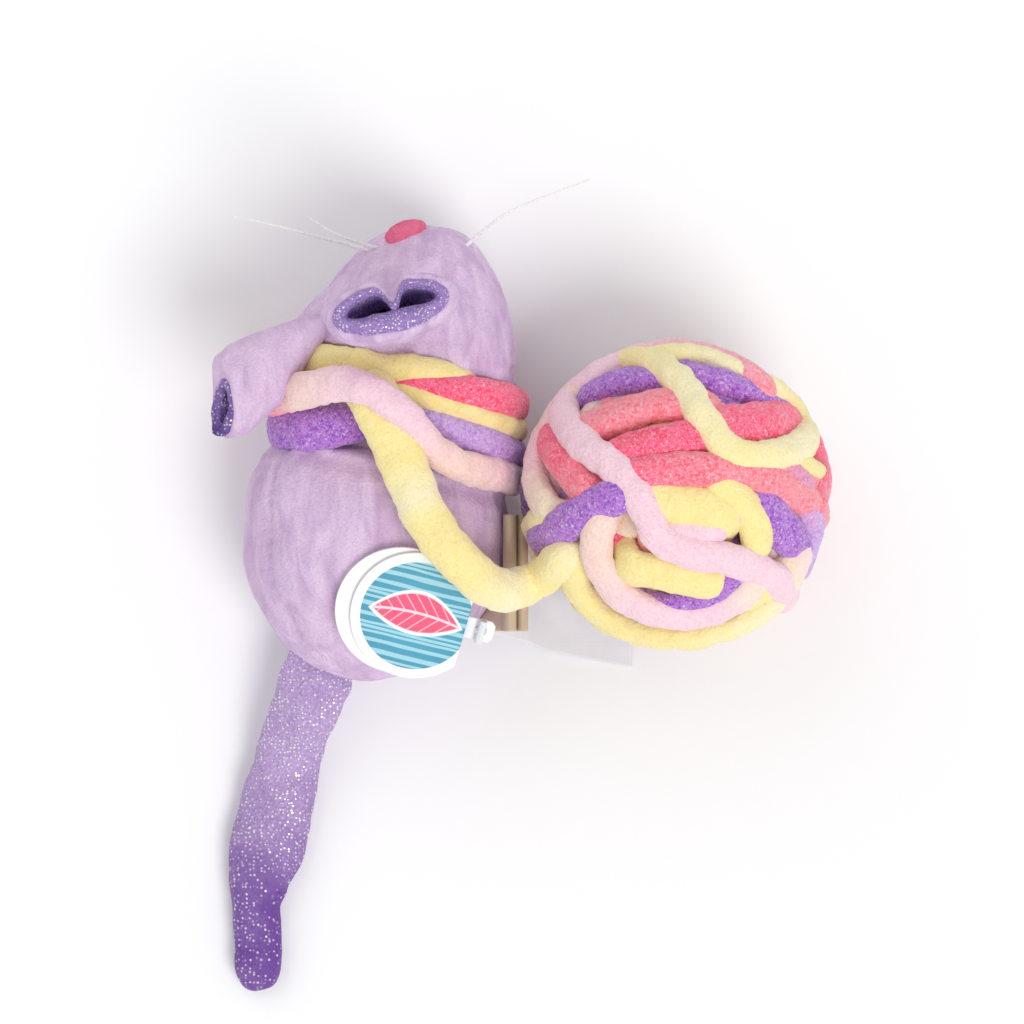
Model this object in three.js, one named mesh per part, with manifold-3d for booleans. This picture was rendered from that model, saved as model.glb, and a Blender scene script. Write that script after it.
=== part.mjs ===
// A plush catnip mouse lying on its belly, tied by a strand of thick yarn to a ball of the same yarn.
// Millimetres, +Z up, nose towards +Y. The origin is on the flat of the belly, on the ground.
import * as THREE from 'three';
import { mergeVertices } from 'three/addons/utils/BufferGeometryUtils.js';
import Module from 'manifold-3d';

const wasm = await Module();
wasm.setup();

// Cloth, yarn and clearances
const seatGap = 0.3;
const plushThick = 1.3;
const glitterThick = 0.7;
const fillingGap = 0.4;
const restCut = 0.5;

// Mouse: neck joint, body and head
const neckPlace = 24;
const neckWidth = 35.6;
const neckHeight = 24.8;
const neckAside = 2.8;
const neckTiltShare = 0.23;
const bodyLength = 49.9;
const bodyWidth = 49;
const bodyHeight = 39;
const bodyAside = -5.9;
const headLength = 36.6;
const headWidth = 40.6;
const headHeight = 32;
const headAside = 1.9;
const noseHeight = 17;
const tailEndHeight = 16.5;

// Each row: share of the length from the neck, then shares of neck girth, of full girth and of the neck's tilt
const bodyShares = [
  [0, 1, 0, 1],
  [0.265, 1, 0, 1],
  [0.298, 0.45, 0.56, 0.85],
  [0.35, 0.05, 0.94, 0.5],
  [0.41, 0, 1, 0.25],
  [0.48, 0, 1, 0.1],
  [0.56, 0, 1, 0],
  [0.66, 0, 0.94, 0],
  [0.76, 0, 0.825, 0],
  [0.855, 0, 0.665, 0],
  [0.925, 0, 0.49, 0],
  [0.975, 0, 0.28, 0],
];
const headShares = [
  [0, 1, 0, 1],
  [0.316, 1, 0, 1],
  [0.36, 0.45, 0.55, 0.95],
  [0.42, 0.03, 0.95, 0.8],
  [0.49, 0, 0.99, 0.55],
  [0.58, 0, 0.905, 0.3],
  [0.68, 0, 0.785, 0.12],
  [0.78, 0, 0.675, 0],
  [0.87, 0, 0.545, 0],
  [0.94, 0, 0.375, 0],
  [0.985, 0, 0.17, 0],
];
const girthPoints = 28;

// Catnip pouch in its pocket in the filling
const pouchLength = 26;
const pouchWidth = 20;
const pouchThick = 9;
const pouchSeatShare = 0.5;
const pocketWayShare = 0.5;
const pouchShares = [
  [-0.5, 0.55, 0.12],
  [-0.4, 0.9, 0.6],
  [-0.2, 0.97, 0.93],
  [0, 0.93, 1],
  [0.2, 0.97, 0.93],
  [0.4, 0.9, 0.6],
  [0.5, 0.55, 0.12],
];
const pouchPoints = 16;

// Nose patch
const noseLength = 9;
const noseWidth = 5.2;
const noseProud = 1.1;
const noseTurn = 30;
const noseRise = 48;
const noseSeatShare = 0.955;
const noseAngle = 96;
const nosePoints = 20;

// Ears: a plush cup on a stem, lined with glitter cloth and pinched at the front
const rightEarLength = 20.5;
const rightEarMouthWidth = 20.5;
const rightEarMouthDepth = 9.7;
const rightEarPinch = 2.5;
const leftEarLength = 24.5;
const leftEarMouthWidth = 10.8;
const leftEarMouthDepth = 7.4;
const leftEarPinch = 0.7;
const earRootRadius = 3;
const earPinchShare = 0.5;
const earLip = 1.1;
const earFloor = 8;
const earPoints = 20;
const earStemAngles = [-62, -28];
// Each ear: where it is sewn on, as a share of the head and an angle, the way that its length and front point, and
// rows of shares of the length, of the mouth's width and of its depth
const leftEar = {
  length: leftEarLength,
  mouthWidth: leftEarMouthWidth,
  mouthDepth: leftEarMouthDepth,
  pinch: leftEarPinch,
  seatShare: 0.462,
  angle: 141,
  aim: [-0.69, -0.7, 0.26],
  front: [0, 0, -1],
  shares: [[0.22, 0.8, 0.78], [0.4, 1.14, 0.96], [0.58, 1.32, 1.08], [0.76, 1.32, 1.1], [0.9, 1.18, 1.05], [1, 1, 1]],
};
const rightEar = {
  length: rightEarLength,
  mouthWidth: rightEarMouthWidth,
  mouthDepth: rightEarMouthDepth,
  pinch: rightEarPinch,
  seatShare: 0.47,
  angle: 97,
  aim: [-0.03, 0.2, 0.98],
  front: [-0.23, 0.97, 0],
  shares: [[0.24, 0.42, 0.72], [0.42, 0.62, 0.8], [0.6, 0.8, 0.88], [0.8, 0.95, 0.95], [1, 1, 1]],
};

// Tail, a filled tube of glitter cloth lying on the ground
const tailLength = 59.3;
const tailWidth = 14.2;
const tailThick = 6.4;
const tailSway = -11.6;
const tailClear = 0.3;
const tailTipShare = 0.6;
const tailSeatShare = 0.945;
const tailAngle = 205;
// Each row: shares of the length, of the sway, of the width, of the thickness and of the drop to the ground
const tailShares = [
  [-0.052, 0, 0.12, 0.3, 0],
  [-0.043, 0, 0.28, 0.65, 0],
  [-0.024, 0, 0.41, 0.92, 0],
  [0, 0, 0.46, 1, 0],
  [0.03, 0.07, 0.64, 1, 0.05],
  [0.09, 0.2, 0.82, 1, 0.2],
  [0.184, 0.37, 0.84, 1, 0.5],
  [0.283, 0.51, 0.88, 1, 0.77],
  [0.38, 0.63, 0.95, 1, 0.93],
  [0.48, 0.75, 1, 1, 1],
  [0.58, 0.88, 0.95, 0.98, 1],
  [0.66, 0.96, 0.78, 0.92, 1],
  [0.73, 1, 0.61, 0.88, 1],
  [0.86, 0.98, 0.63, 0.88, 1],
  [0.95, 0.96, 0.53, 0.8, 1],
  [0.985, 0.955, 0.32, 0.55, 1],
  [1, 0.95, 0.02, 0.05, 1],
];
const tailPoints = 16;
const tailFillingRows = [4, -1];

// Yarn
const yarnWidth = 7.4;
const yarnThick = 5.4;
const turnGap = 0.6;
const yarnSides = 6;
const loopSteps = 24;
const stepParts = 3;

// Neck wrap: a helix of yarn drawn tight round the neck
const wrapTurns = 3.25;
const wrapGap = 0.5;
const wrapWidth = 4.7;
const wrapThick = 6.4;
const wrapLast = 30.5;
const wrapEndAngle = 125;

// Yarn ball
const ballRadius = 29.9;
const ballPlaceShares = [0.853, 0.503];
const innerTurns = 6.3;
const outerTurns = 5.5;
const poleAngle = 18;
const outerSkew = 46;
const flatShare = 0.13;
const ballTurn = [62, 30, 8];
const corePoints = 24;

// Free strand from the neck wrap to the ball: its route, chosen by hand. Each row: place across and along, rise, and
// the shares of the body's height and of the ball's radius that the rise is counted from
const strandWidth = 7.8;
const strandSides = 10;
const strandRoute = [
  [-8.4, 34.1, 14.7, 0.5, 0],
  [-6.1, 33.4, 18.9, 0.5, 0],
  [-3.4, 30.4, 22.2, 0.5, 0],
  [-1.2, 26.6, 23.6, 0.5, 0],
  [0.8, 22, 20.2, 0.6, 0],
  [2.8, 17.5, 14.65, 0.75, 0],
  [5.2, 11.5, 9.4, 0.9, 0],
  [7.8, 5.5, 6.1, 1, 0],
  [10.6, 0, 6.8, 1, 0],
  [13.8, -4.4, 6.4, 1, 0],
  [17, -7.6, 4.9, 1, 0],
  [20, -9.4, 4.675, 0.75, 0.25],
  [22.9, -9.7, 4.25, 0.5, 0.5],
  [26.1, -8.2, 4.225, 0.25, 0.75],
  [29.3, -6.2, 5.1, 0, 1],
];
const strandSteps = 28;

// Hang tag: two card leaves on one spine, pinned to the cover
const tagRadius = 12.3;
const tagThick = 0.6;
const tagLeafGap = 0.35;
const tagClear = 1.3;
const tagShift = 2.9;
const tagFold = 9.9;
const tagSeatShare = 0.484;
const tagAngle = 79.6;
const tagSeatOn = -74;
const tagTurn = 164;
const tagUp = [0.05, -0.29, 0.96];
const tagCorners = 40;
const spineLength = 5.2;
const spineWidth = 4.2;
const pinHole = 1.1;
const pinRadius = 0.55;
const pinHeadLength = 4.4;
const pinHeadRadius = 0.75;
const pinSeatShare = 0.796;
const pinAngle = 26;
const pinSides = 10;
const pinDrop = 1.8;

// Care label: leaves of satin tape sewn in at the right flank
const labelWidth = 22;
const labelThick = 0.35;
const labelSeatShare = 0.585;
const labelLevel = 17.5;
const labelReach = 25;
const leafStep = 1.4;
const labelColumns = 9;
const labelClear = 0.8;
// Each leaf: height of its root over the seam in steps, then its course as shares: of the reach, out from the flank
// and along it, and of the root's level, up
const labelShares = {
  label_leaf_upper: [0.714, [[0, 0, 0], [0.016, 0, 0.0865], [0.028, 0, 0.1946], [0.03, 0, 0.3135]]],
  label_leaf_lower: [-0.286, [[0, 0, 0], [0.072, 0, -0.0175], [0.108, 0, 0.0351], [0.128, 0, 0.1637],
    [0.136, 0, 0.3041]]],
  label_page: [-1.286, [[0, 0, 0], [0.0593, -0.0222, -0.1401], [0.1259, -0.0593, -0.3822],
    [0.2222, -0.1111, -0.6752], [0.3556, -0.1704, -0.8854], [0.5185, -0.2074, -0.949],
    [0.7407, -0.2481, -0.9618], [1, -0.2926, -0.9618]]],
};

// Whiskers: each row is where a thread leaves the muzzle, as a share of the head and an angle, and where its tip
// is, as shares of the head's width, length and height from the middle of the neck
const whiskerRadius = 0.3;
const whiskerSag = 2.4;
const whiskerSides = 6;
const whiskerSteps = 14;
const whiskerShares = {
  whisker_left_long: [0.87, 145, [-0.773, 1.033, 0.844]],
  whisker_left_short: [0.885, 137, [-0.424, 1.027, 0.844]],
  whisker_right: [0.895, 34, [0.882, 1.227, 0.781]],
};

/** Degrees to radians. */
const rad = THREE.MathUtils.degToRad;
const full = 2 * Math.PI;

/** Volume inside an indexed mesh, negative where its faces point inwards. */
function signedVolume(points, index) {
  let volume = 0;
  for (let i = 0; i < index.length; i += 3) {
    const [a, b, c] = [index[i], index[i + 1], index[i + 2]].map((k) => points[k]);
    volume += a.dot(new THREE.Vector3().crossVectors(b, c));
  }
  return volume;
}

/** An indexed geometry whose faces point out. */
function geometryFrom(points, index) {
  const turned = [];
  const inward = signedVolume(points, index) < 0;
  for (let i = 0; i < index.length; i += 3) {
    const [a, b, c] = [index[i], index[i + 1], index[i + 2]];
    turned.push(a, inward ? c : b, inward ? b : c);
  }
  const geometry = new THREE.BufferGeometry();
  geometry.setAttribute('position', new THREE.Float32BufferAttribute(points.flatMap((p) => p.toArray()), 3));
  geometry.setIndex(turned);
  return geometry;
}

/** A closed skin through rings of points. A ring of one point is a pole, and an open end gets a flat cap. */
function skin(rings) {
  const points = [];
  const index = [];
  const starts = rings.map((ring) => points.push(...ring) - ring.length);
  for (let r = 1; r < rings.length; r++) {
    const [from, to] = [rings[r - 1].length, rings[r].length];
    const count = Math.max(from, to);
    for (let k = 0; k < count; k++) {
      const next = (k + 1) % count;
      const a = starts[r - 1] + (from > 1 ? k : 0);
      const b = starts[r - 1] + (from > 1 ? next : 0);
      const c = starts[r] + (to > 1 ? k : 0);
      const d = starts[r] + (to > 1 ? next : 0);
      if (from > 1) index.push(a, b, d);
      if (to > 1) index.push(a, d, c);
    }
  }
  for (const [r, side] of [[0, 1], [rings.length - 1, -1]]) {
    const ring = rings[r];
    if (ring.length === 1) continue;
    const middle = points.push(ring.reduce((sum, p) => sum.add(p), new THREE.Vector3()).divideScalar(ring.length)) - 1;
    for (let k = 0; k < ring.length; k++) {
      const [a, b] = [starts[r] + k, starts[r] + ((k + 1) % ring.length)];
      index.push(middle, side > 0 ? b : a, side > 0 ? a : b);
    }
  }
  return geometryFrom(points, index);
}

/** A closed slab between two grids of points, rows by columns. */
function slab(front, back) {
  const [rows, columns] = [front.length, front[0].length];
  const points = [...front.flat(), ...back.flat()];
  const index = [];
  const at = (side, r, c) => side * rows * columns + r * columns + c;
  const quad = (a, b, c, d) => index.push(a, b, c, a, c, d);
  for (let r = 0; r < rows - 1; r++) {
    for (let c = 0; c < columns - 1; c++) {
      quad(at(0, r, c), at(0, r + 1, c), at(0, r + 1, c + 1), at(0, r, c + 1));
      quad(at(1, r, c), at(1, r, c + 1), at(1, r + 1, c + 1), at(1, r + 1, c));
    }
    quad(at(0, r, 0), at(1, r, 0), at(1, r + 1, 0), at(0, r + 1, 0));
    quad(at(0, r, columns - 1), at(0, r + 1, columns - 1), at(1, r + 1, columns - 1), at(1, r, columns - 1));
  }
  for (let c = 0; c < columns - 1; c++) {
    quad(at(0, 0, c), at(0, 0, c + 1), at(1, 0, c + 1), at(1, 0, c));
    quad(at(0, rows - 1, c), at(1, rows - 1, c), at(1, rows - 1, c + 1), at(0, rows - 1, c + 1));
  }
  return geometryFrom(points, index);
}

/** A geometry as a solid that can be cut. */
function solidOf(geometry) {
  const bare = geometry.clone();
  bare.deleteAttribute('normal');
  bare.deleteAttribute('uv');
  const merged = mergeVertices(bare);
  return new wasm.Manifold(new wasm.Mesh({
    numProp: 3,
    vertProperties: new Float32Array(merged.attributes.position.array),
    triVerts: new Uint32Array(merged.index.array),
  }));
}

/** A cut solid as a geometry again. */
function geometryOf(solid) {
  const mesh = solid.getMesh();
  const geometry = new THREE.BufferGeometry();
  geometry.setAttribute('position', new THREE.BufferAttribute(new Float32Array(mesh.vertProperties), 3));
  geometry.setIndex(new THREE.BufferAttribute(new Uint32Array(mesh.triVerts), 1));
  return geometry;
}

const mouse = new THREE.Group();

/** Adds one named piece to the toy. */
function add(name, geometry, finish) {
  const piece = new THREE.Mesh(geometry, finish);
  piece.name = name;
  mouse.add(piece);
  return piece;
}

/** A cloth or plastic finish. */
const finish = (color, roughness) => new THREE.MeshStandardMaterial({ color, roughness, metalness: 0 });
const plush = finish(0xd3b6da, 0.95);
const glitter = finish(0x7a55a8, 0.45);
const filling = finish(0xf2f0ea, 1);
const herbCloth = finish(0xb9b48c, 0.95);
const nosePlush = finish(0xe0607f, 0.95);
const thread = finish(0xf4f2ee, 0.5);
const yarn = finish(0xf1d98f, 0.98);
const ballYarn = finish(0xf2a3bd, 0.98);
const card = finish(0xf3f4f2, 0.6);
const plastic = finish(0xe8ecee, 0.35);
const satin = finish(0xe9dccb, 0.5);

// The sizes of the body and the head, both drawn in to the same neck
const neckLevel = bodyHeight / 2 - restCut;
const body = {
  shares: bodyShares,
  reach: -(bodyLength - seatGap / 2),
  start: neckPlace - seatGap / 2,
  width: bodyWidth,
  height: bodyHeight,
  aside: bodyAside,
  endLevel: tailEndHeight,
  ground: 0,
};
const head = {
  shares: headShares,
  reach: headLength - seatGap / 2,
  start: neckPlace + seatGap / 2,
  width: headWidth,
  height: headHeight,
  aside: headAside,
  endLevel: noseHeight,
  ground: -Infinity,
};

/** The half width and half height of a form's cross-section, given its shares of the neck and of the full girth. */
function halfSizes(form, neckShare, girthShare) {
  const width = neckWidth * neckShare + form.width * girthShare;
  const height = neckHeight * neckShare + form.height * girthShare;
  return [width / 2, height / 2];
}

/** Which way a form's profile faces at a row, as parts away from the neck and out from the middle. */
function profileNormal(form, i) {
  const at = (k) => {
    const [share, neckShare, girthShare] = form.shares[k] ?? [1, 0, 0];
    const [halfWidth, halfHeight] = halfSizes(form, neckShare, girthShare);
    return new THREE.Vector2(Math.abs(form.reach) * share, (halfWidth + halfHeight) / 2);
  };
  const facing = new THREE.Vector2();
  for (const k of [i - 1, i]) {
    if (k < 0) continue;
    const run = at(k + 1).sub(at(k)).normalize();
    facing.add(new THREE.Vector2(-run.y, run.x));
  }
  return facing.normalize();
}

/** The middle of a form's cross-section at a share of its length. */
function girthMiddle(form, share) {
  const neckShare = form.shares[1][0];
  const past = Math.max(share - neckShare, 0) / (1 - neckShare);
  return new THREE.Vector3(
    neckAside + form.aside * Math.sin(Math.sqrt(past) * Math.PI / 2),
    form.start + form.reach * share,
    neckLevel + (form.endLevel - neckLevel) * past ** 2,
  );
}

/** One ring of a stuffed form, drawn in square to the profile by an inset. */
function girthRing(form, i, inset) {
  const [share, neckShare, girthShare, tiltShare] = form.shares[i];
  const facing = profileNormal(form, i);
  const middle = girthMiddle(form, share);
  const [halfWidth, halfHeight] = halfSizes(form, neckShare, girthShare).map((half) => half - inset * facing.y);
  return Array.from({ length: girthPoints }, (_, k) => {
    const angle = full * (k / girthPoints) - Math.PI / 2;
    const aside = halfWidth * Math.cos(angle);
    return new THREE.Vector3(
      middle.x + aside,
      middle.y - Math.sign(form.reach) * inset * facing.x - neckTiltShare * tiltShare * aside,
      Math.max(middle.z + halfHeight * Math.sin(angle), form.ground + inset),
    );
  });
}

/** A form's cross-section between its rows. */
function girthAt(form, share) {
  const next = form.shares.findIndex(([far]) => far > share);
  const [before, after] = [form.shares[next - 1], form.shares[next]];
  const part = (share - before[0]) / (after[0] - before[0]);
  const [neckShare, girthShare, tiltShare] = [1, 2, 3].map((k) => THREE.MathUtils.lerp(before[k], after[k], part));
  const facing = profileNormal(form, next - 1).lerp(profileNormal(form, next), part).normalize();
  const [halfWidth, halfHeight] = halfSizes(form, neckShare, girthShare);
  return { middle: girthMiddle(form, share), halfWidth, halfHeight, tiltShare, facing };
}

/** A point over a form's surface, at a share of its length and an angle round it, lifted off it by a distance. */
function overForm(form, share, degrees, lift) {
  const { middle, halfWidth, halfHeight, tiltShare, facing } = girthAt(form, share);
  const [across, high] = [Math.cos(rad(degrees)), Math.sin(rad(degrees))];
  const outward = new THREE.Vector3(across / halfWidth, 0, high / halfHeight).setLength(facing.y);
  outward.y = Math.sign(form.reach) * facing.x;
  const aside = halfWidth * across;
  return middle
    .add(new THREE.Vector3(aside, -neckTiltShare * tiltShare * aside, halfHeight * high))
    .addScaledVector(outward, lift);
}

/** The rings of a stuffed form from its far end to the neck. */
function girthRings(form, inset) {
  const tip = girthMiddle(form, 1);
  tip.y -= Math.sign(form.reach) * inset;
  return [...form.shares.map((_, i) => girthRing(form, i, inset)), [tip]].reverse();
}

/** The cloth cover of a stuffed form, open at the neck. */
function coverOf(form) {
  return skin([...girthRings(form, 0), ...girthRings(form, plushThick).reverse()]);
}

const pouchMiddle = girthMiddle(body, pouchSeatShare);

/** A ring of the catnip pouch, or of the pocket round it where it is let out. */
function pouchRing([share, widthShare, thickShare], letOut) {
  return Array.from({ length: pouchPoints }, (_, k) => {
    const angle = full * (k / pouchPoints);
    return new THREE.Vector3(
      pouchMiddle.x + (pouchWidth / 2 * widthShare + letOut) * Math.cos(angle),
      pouchMiddle.y + (pouchLength + 2 * letOut) * share,
      pouchMiddle.z + (pouchThick / 2 * thickShare + letOut) * Math.sin(angle),
    );
  });
}

add('body_cover', coverOf(body), plush);
add('head_cover', coverOf(head), plush);

const fillingInset = plushThick + fillingGap;
const pocket = solidOf(skin(pouchShares.map((row) => pouchRing(row, fillingGap))));
const pocketWay = new THREE.BoxGeometry(pouchWidth * pocketWayShare, bodyLength, pouchThick * pocketWayShare);
pocketWay.translate(pouchMiddle.x, pouchMiddle.y + bodyLength / 2, pouchMiddle.z);
const bodyFilling = solidOf(skin(girthRings(body, fillingInset))).subtract(pocket).subtract(solidOf(pocketWay));
add('body_filling', geometryOf(bodyFilling), filling);
add('head_filling', skin(girthRings(head, fillingInset)), filling);
add('catnip_pouch', skin(pouchShares.map((row) => pouchRing(row, 0))), herbCloth);

/** The nose patch: a lens of plush, cut to the muzzle that it is sewn on. */
function nosePatch() {
  const lens = new THREE.SphereGeometry(1, nosePoints, nosePoints / 2);
  lens.scale(noseLength / 2, noseWidth / 2, noseProud + plushThick);
  lens.rotateZ(rad(noseTurn));
  lens.rotateX(-rad(noseRise));
  lens.translate(...overForm(head, noseSeatShare, noseAngle, 0).toArray());
  return geometryOf(solidOf(lens).subtract(solidOf(skin(girthRings(head, -seatGap)))));
}
add('nose', nosePatch(), nosePlush);

/** A straight-ended round tube along a curve. */
function cordAlong(curve, radius, sides, steps) {
  const section = new THREE.Shape(Array.from({ length: sides }, (_, k) => {
    const angle = full * (k / sides);
    return new THREE.Vector2(radius * Math.cos(angle), radius * Math.sin(angle));
  }));
  return new THREE.ExtrudeGeometry(section, { steps, extrudePath: curve, bevelEnabled: false });
}

const strandPoints = strandRoute.map(([across, along, rise, bodyShare, ballShare]) => (
  new THREE.Vector3(across, along, rise + bodyHeight * bodyShare + ballRadius * ballShare)
));
const strandCurve = new THREE.CatmullRomCurve3(strandPoints, false, 'centripetal');
add('free_strand', cordAlong(strandCurve, strandWidth / 2, strandSides, strandSteps), yarn);

/** A yarn tube through points, its section flattened along the outward direction at each point. */
function yarnTube(points, outwards, width, thick, ground) {
  const rings = points.map((point, i) => {
    const ahead = points[Math.min(i + 1, points.length - 1)];
    const behind = points[Math.max(i - 1, 0)];
    const forward = new THREE.Vector3().subVectors(ahead, behind).normalize();
    const aside = new THREE.Vector3().crossVectors(forward, outwards[i]).normalize();
    const outward = new THREE.Vector3().crossVectors(aside, forward);
    return Array.from({ length: yarnSides }, (_, k) => {
      const angle = full * (k / yarnSides);
      const corner = point.clone()
        .addScaledVector(aside, width / 2 * Math.cos(angle))
        .addScaledVector(outward, thick / 2 * Math.sin(angle));
      corner.z = Math.max(corner.z, ground);
      return corner;
    });
  });
  return { geometry: skin(rings), rings };
}

/** The least gap between runs of one tube that lie half a loop or more apart along it. */
function leastGap(rings) {
  const dense = [];
  for (let i = 1; i < rings.length; i++) {
    for (let part = 0; part < stepParts; part++) {
      const ring = rings[i].map((p, k) => rings[i - 1][k].clone().lerp(p, part / stepParts));
      const edge = ring.map((p, k) => p.clone().lerp(ring[(k + 1) % ring.length], 1 / 2));
      const middle = ring.reduce((sum, p) => sum.add(p), new THREE.Vector3()).divideScalar(ring.length);
      dense.push({ step: i, middle, points: [...ring, ...edge] });
    }
  }
  const near = (yarnWidth + yarnThick) * 2;
  let least = Infinity;
  for (const a of dense) {
    for (const b of dense) {
      if (b.step < a.step + loopSteps / 4 || a.middle.distanceTo(b.middle) > near) continue;
      for (const p of a.points) for (const q of b.points) least = Math.min(least, p.distanceTo(q));
    }
  }
  return least;
}

/** The route of the neck wrap: a helix on the drawn-in neck, from the body side to the head side. */
function wrapRoute() {
  const pitch = wrapWidth + wrapGap;
  const halfWidth = neckWidth / 2 + seatGap + wrapThick / 2;
  const halfHeight = neckHeight / 2 + seatGap + wrapThick / 2;
  const count = Math.round(wrapTurns * loopSteps);
  const points = [];
  const outwards = [];
  for (let i = 0; i <= count; i++) {
    const left = (count - i) / loopSteps;
    const angle = rad(wrapEndAngle) + full * left;
    const aside = halfWidth * Math.cos(angle);
    points.push(new THREE.Vector3(
      neckAside + aside,
      wrapLast - pitch * left - neckTiltShare * aside,
      neckLevel + halfHeight * Math.sin(angle),
    ));
    outwards.push(new THREE.Vector3(Math.cos(angle) / halfWidth, 0, Math.sin(angle) / halfHeight).normalize());
  }
  return { points, outwards };
}
const wrap = wrapRoute();
const wrapTube = yarnTube(wrap.points, wrap.outwards, wrapWidth, wrapThick, -Infinity);
add('neck_wrap', wrapTube.geometry, yarn);
console.log('least gap of the neck wrap', leastGap(wrapTube.rings).toFixed(2));

// The ball, at the end of the free strand
const ballLevel = ballRadius - yarnWidth * flatShare;
const strandEnd = strandPoints.at(-1);
const ballMiddle = new THREE.Vector3(
  strandEnd.x + ballRadius * ballPlaceShares[0],
  strandEnd.y + ballRadius * ballPlaceShares[1],
  ballLevel,
);

/** The route of the ball's outer turns: out over the core in one layer, then back over that in a skewed one. */
function ballRoute() {
  const climb = 1 / 2;
  const layer = yarnThick + turnGap;
  const outerRadius = ballRadius - yarnThick / 2;
  const turns = innerTurns + climb + outerTurns;
  const count = Math.round(turns * loopSteps);
  const span = Math.PI - 2 * rad(poleAngle);
  const turned = new THREE.Euler(...ballTurn.map(rad));
  const points = [];
  const outwards = [];
  for (let i = 0; i <= count; i++) {
    const turn = i / loopSteps;
    const inShare = Math.min(turn / innerTurns, 1);
    const climbShare = THREE.MathUtils.smoothstep(turn, innerTurns, innerTurns + climb);
    const outShare = Math.max(turn - innerTurns - climb, 0) / outerTurns;
    const polar = rad(poleAngle) + span * (inShare - outShare);
    const outward = new THREE.Vector3().setFromSphericalCoords(1, polar, full * turn)
      .applyAxisAngle(new THREE.Vector3(1, 0, 0), rad(outerSkew) * outShare)
      .applyEuler(turned);
    const radius = outerRadius - layer * (1 - climbShare);
    outwards.push(outward);
    points.push(ballMiddle.clone().addScaledVector(outward, radius));
  }
  return { points, outwards };
}
const winding = ballRoute();
const ballTube = yarnTube(winding.points, winding.outwards, yarnWidth, yarnThick, 0);
add('ball_winding', ballTube.geometry, ballYarn);
console.log('least gap of the ball winding', leastGap(ballTube.rings).toFixed(2));

const coreRadius = ballRadius - 2 * yarnThick - turnGap - fillingGap;
const core = new THREE.SphereGeometry(coreRadius, corePoints, corePoints / 2);
core.translate(...ballMiddle.toArray());
add('ball_core', core, ballYarn);

/** A point of an ear: on its outline at a share of the length, drawn in by an inset. */
function earPoint(ear, row, k, inset, level) {
  const [lengthShare, widthShare, depthShare] = row;
  const angle = full * (k / earPoints);
  const halfWidth = ear.mouthWidth / 2 * widthShare;
  const across = (halfWidth - inset) * Math.cos(angle);
  const deep = (ear.mouthDepth / 2 * depthShare - inset) * Math.sin(angle);
  const pinched = halfWidth * Math.cos(angle) / (ear.mouthWidth * earPinchShare / 2);
  const fold = Math.exp(-(pinched ** 2)) * Math.max(Math.sin(angle), 0);
  return new THREE.Vector3(across, deep - ear.pinch * lengthShare ** 2 * fold, level);
}

/** One ring of an ear. */
function earRing(ear, row, inset, level = row[0] * ear.length) {
  return Array.from({ length: earPoints }, (_, k) => earPoint(ear, row, k, inset, level));
}

/** An ear's plush cup with its rounded stem, and the glitter lining that stands out of its mouth. */
function earShapes(ear) {
  const stem = earStemAngles.map((degrees) => Array.from({ length: earPoints }, (_, k) => {
    const angle = full * (k / earPoints);
    const radius = earRootRadius * Math.cos(rad(degrees));
    const level = earRootRadius * Math.sin(rad(degrees));
    return new THREE.Vector3(radius * Math.cos(angle), radius * Math.sin(angle), level);
  }));
  const hollow = ear.shares.filter(([lengthShare]) => lengthShare * ear.length > earFloor);
  const mouth = ear.shares.at(-1);
  const floor = (level) => [new THREE.Vector3(0, 0, level)];
  const inner = plushThick;
  const outerLining = plushThick + seatGap;
  const innerLining = outerLining + glitterThick;
  const cup = skin([
    floor(-earRootRadius),
    ...stem,
    ...ear.shares.map((row) => earRing(ear, row, 0)),
    ...hollow.toReversed().map((row) => earRing(ear, row, inner)),
    floor(earFloor),
  ]);
  const raised = (row, inset, rise) => earRing(ear, row, inset, row[0] * ear.length + rise);
  const lining = skin([
    floor(earFloor + seatGap),
    ...hollow.map((row) => raised(row, outerLining, seatGap)),
    raised(mouth, inner, seatGap),
    raised(mouth, glitterThick, earLip),
    raised(mouth, outerLining, earLip),
    ...hollow.toReversed().map((row) => raised(row, innerLining, seatGap + glitterThick)),
    floor(earFloor + seatGap + glitterThick),
  ]);
  return { cup, lining };
}

/** Sets a piece with its own +Z along the aim and its +Y towards the front. */
function aimed(piece, { seatShare, angle, aim, front }) {
  const z = new THREE.Vector3(...aim).normalize();
  const x = new THREE.Vector3(...front).cross(z).normalize();
  const y = new THREE.Vector3().crossVectors(z, x);
  piece.quaternion.setFromRotationMatrix(new THREE.Matrix4().makeBasis(x, y, z));
  piece.position.copy(overForm(head, seatShare, angle, earRootRadius + seatGap));
}

for (const [side, where] of Object.entries({ left: leftEar, right: rightEar })) {
  const { cup, lining } = earShapes(where);
  aimed(add(`${side}_ear_plush`, cup, plush), where);
  aimed(add(`${side}_ear_lining`, lining, glitter), where);
}

const tailPlace = overForm(body, tailSeatShare, tailAngle, tailThick / 2 + seatGap);

/** The tail's middle at a row of its shares. */
function tailMiddle([lengthShare, swayShare, , thickShare, dropShare]) {
  const low = tailClear + tailThick / 2 * Math.max(thickShare, tailTipShare);
  return new THREE.Vector3(
    tailPlace.x + tailSway * swayShare,
    tailPlace.y - tailLength * lengthShare,
    tailPlace.z + (low - tailPlace.z) * dropShare,
  );
}

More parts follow.
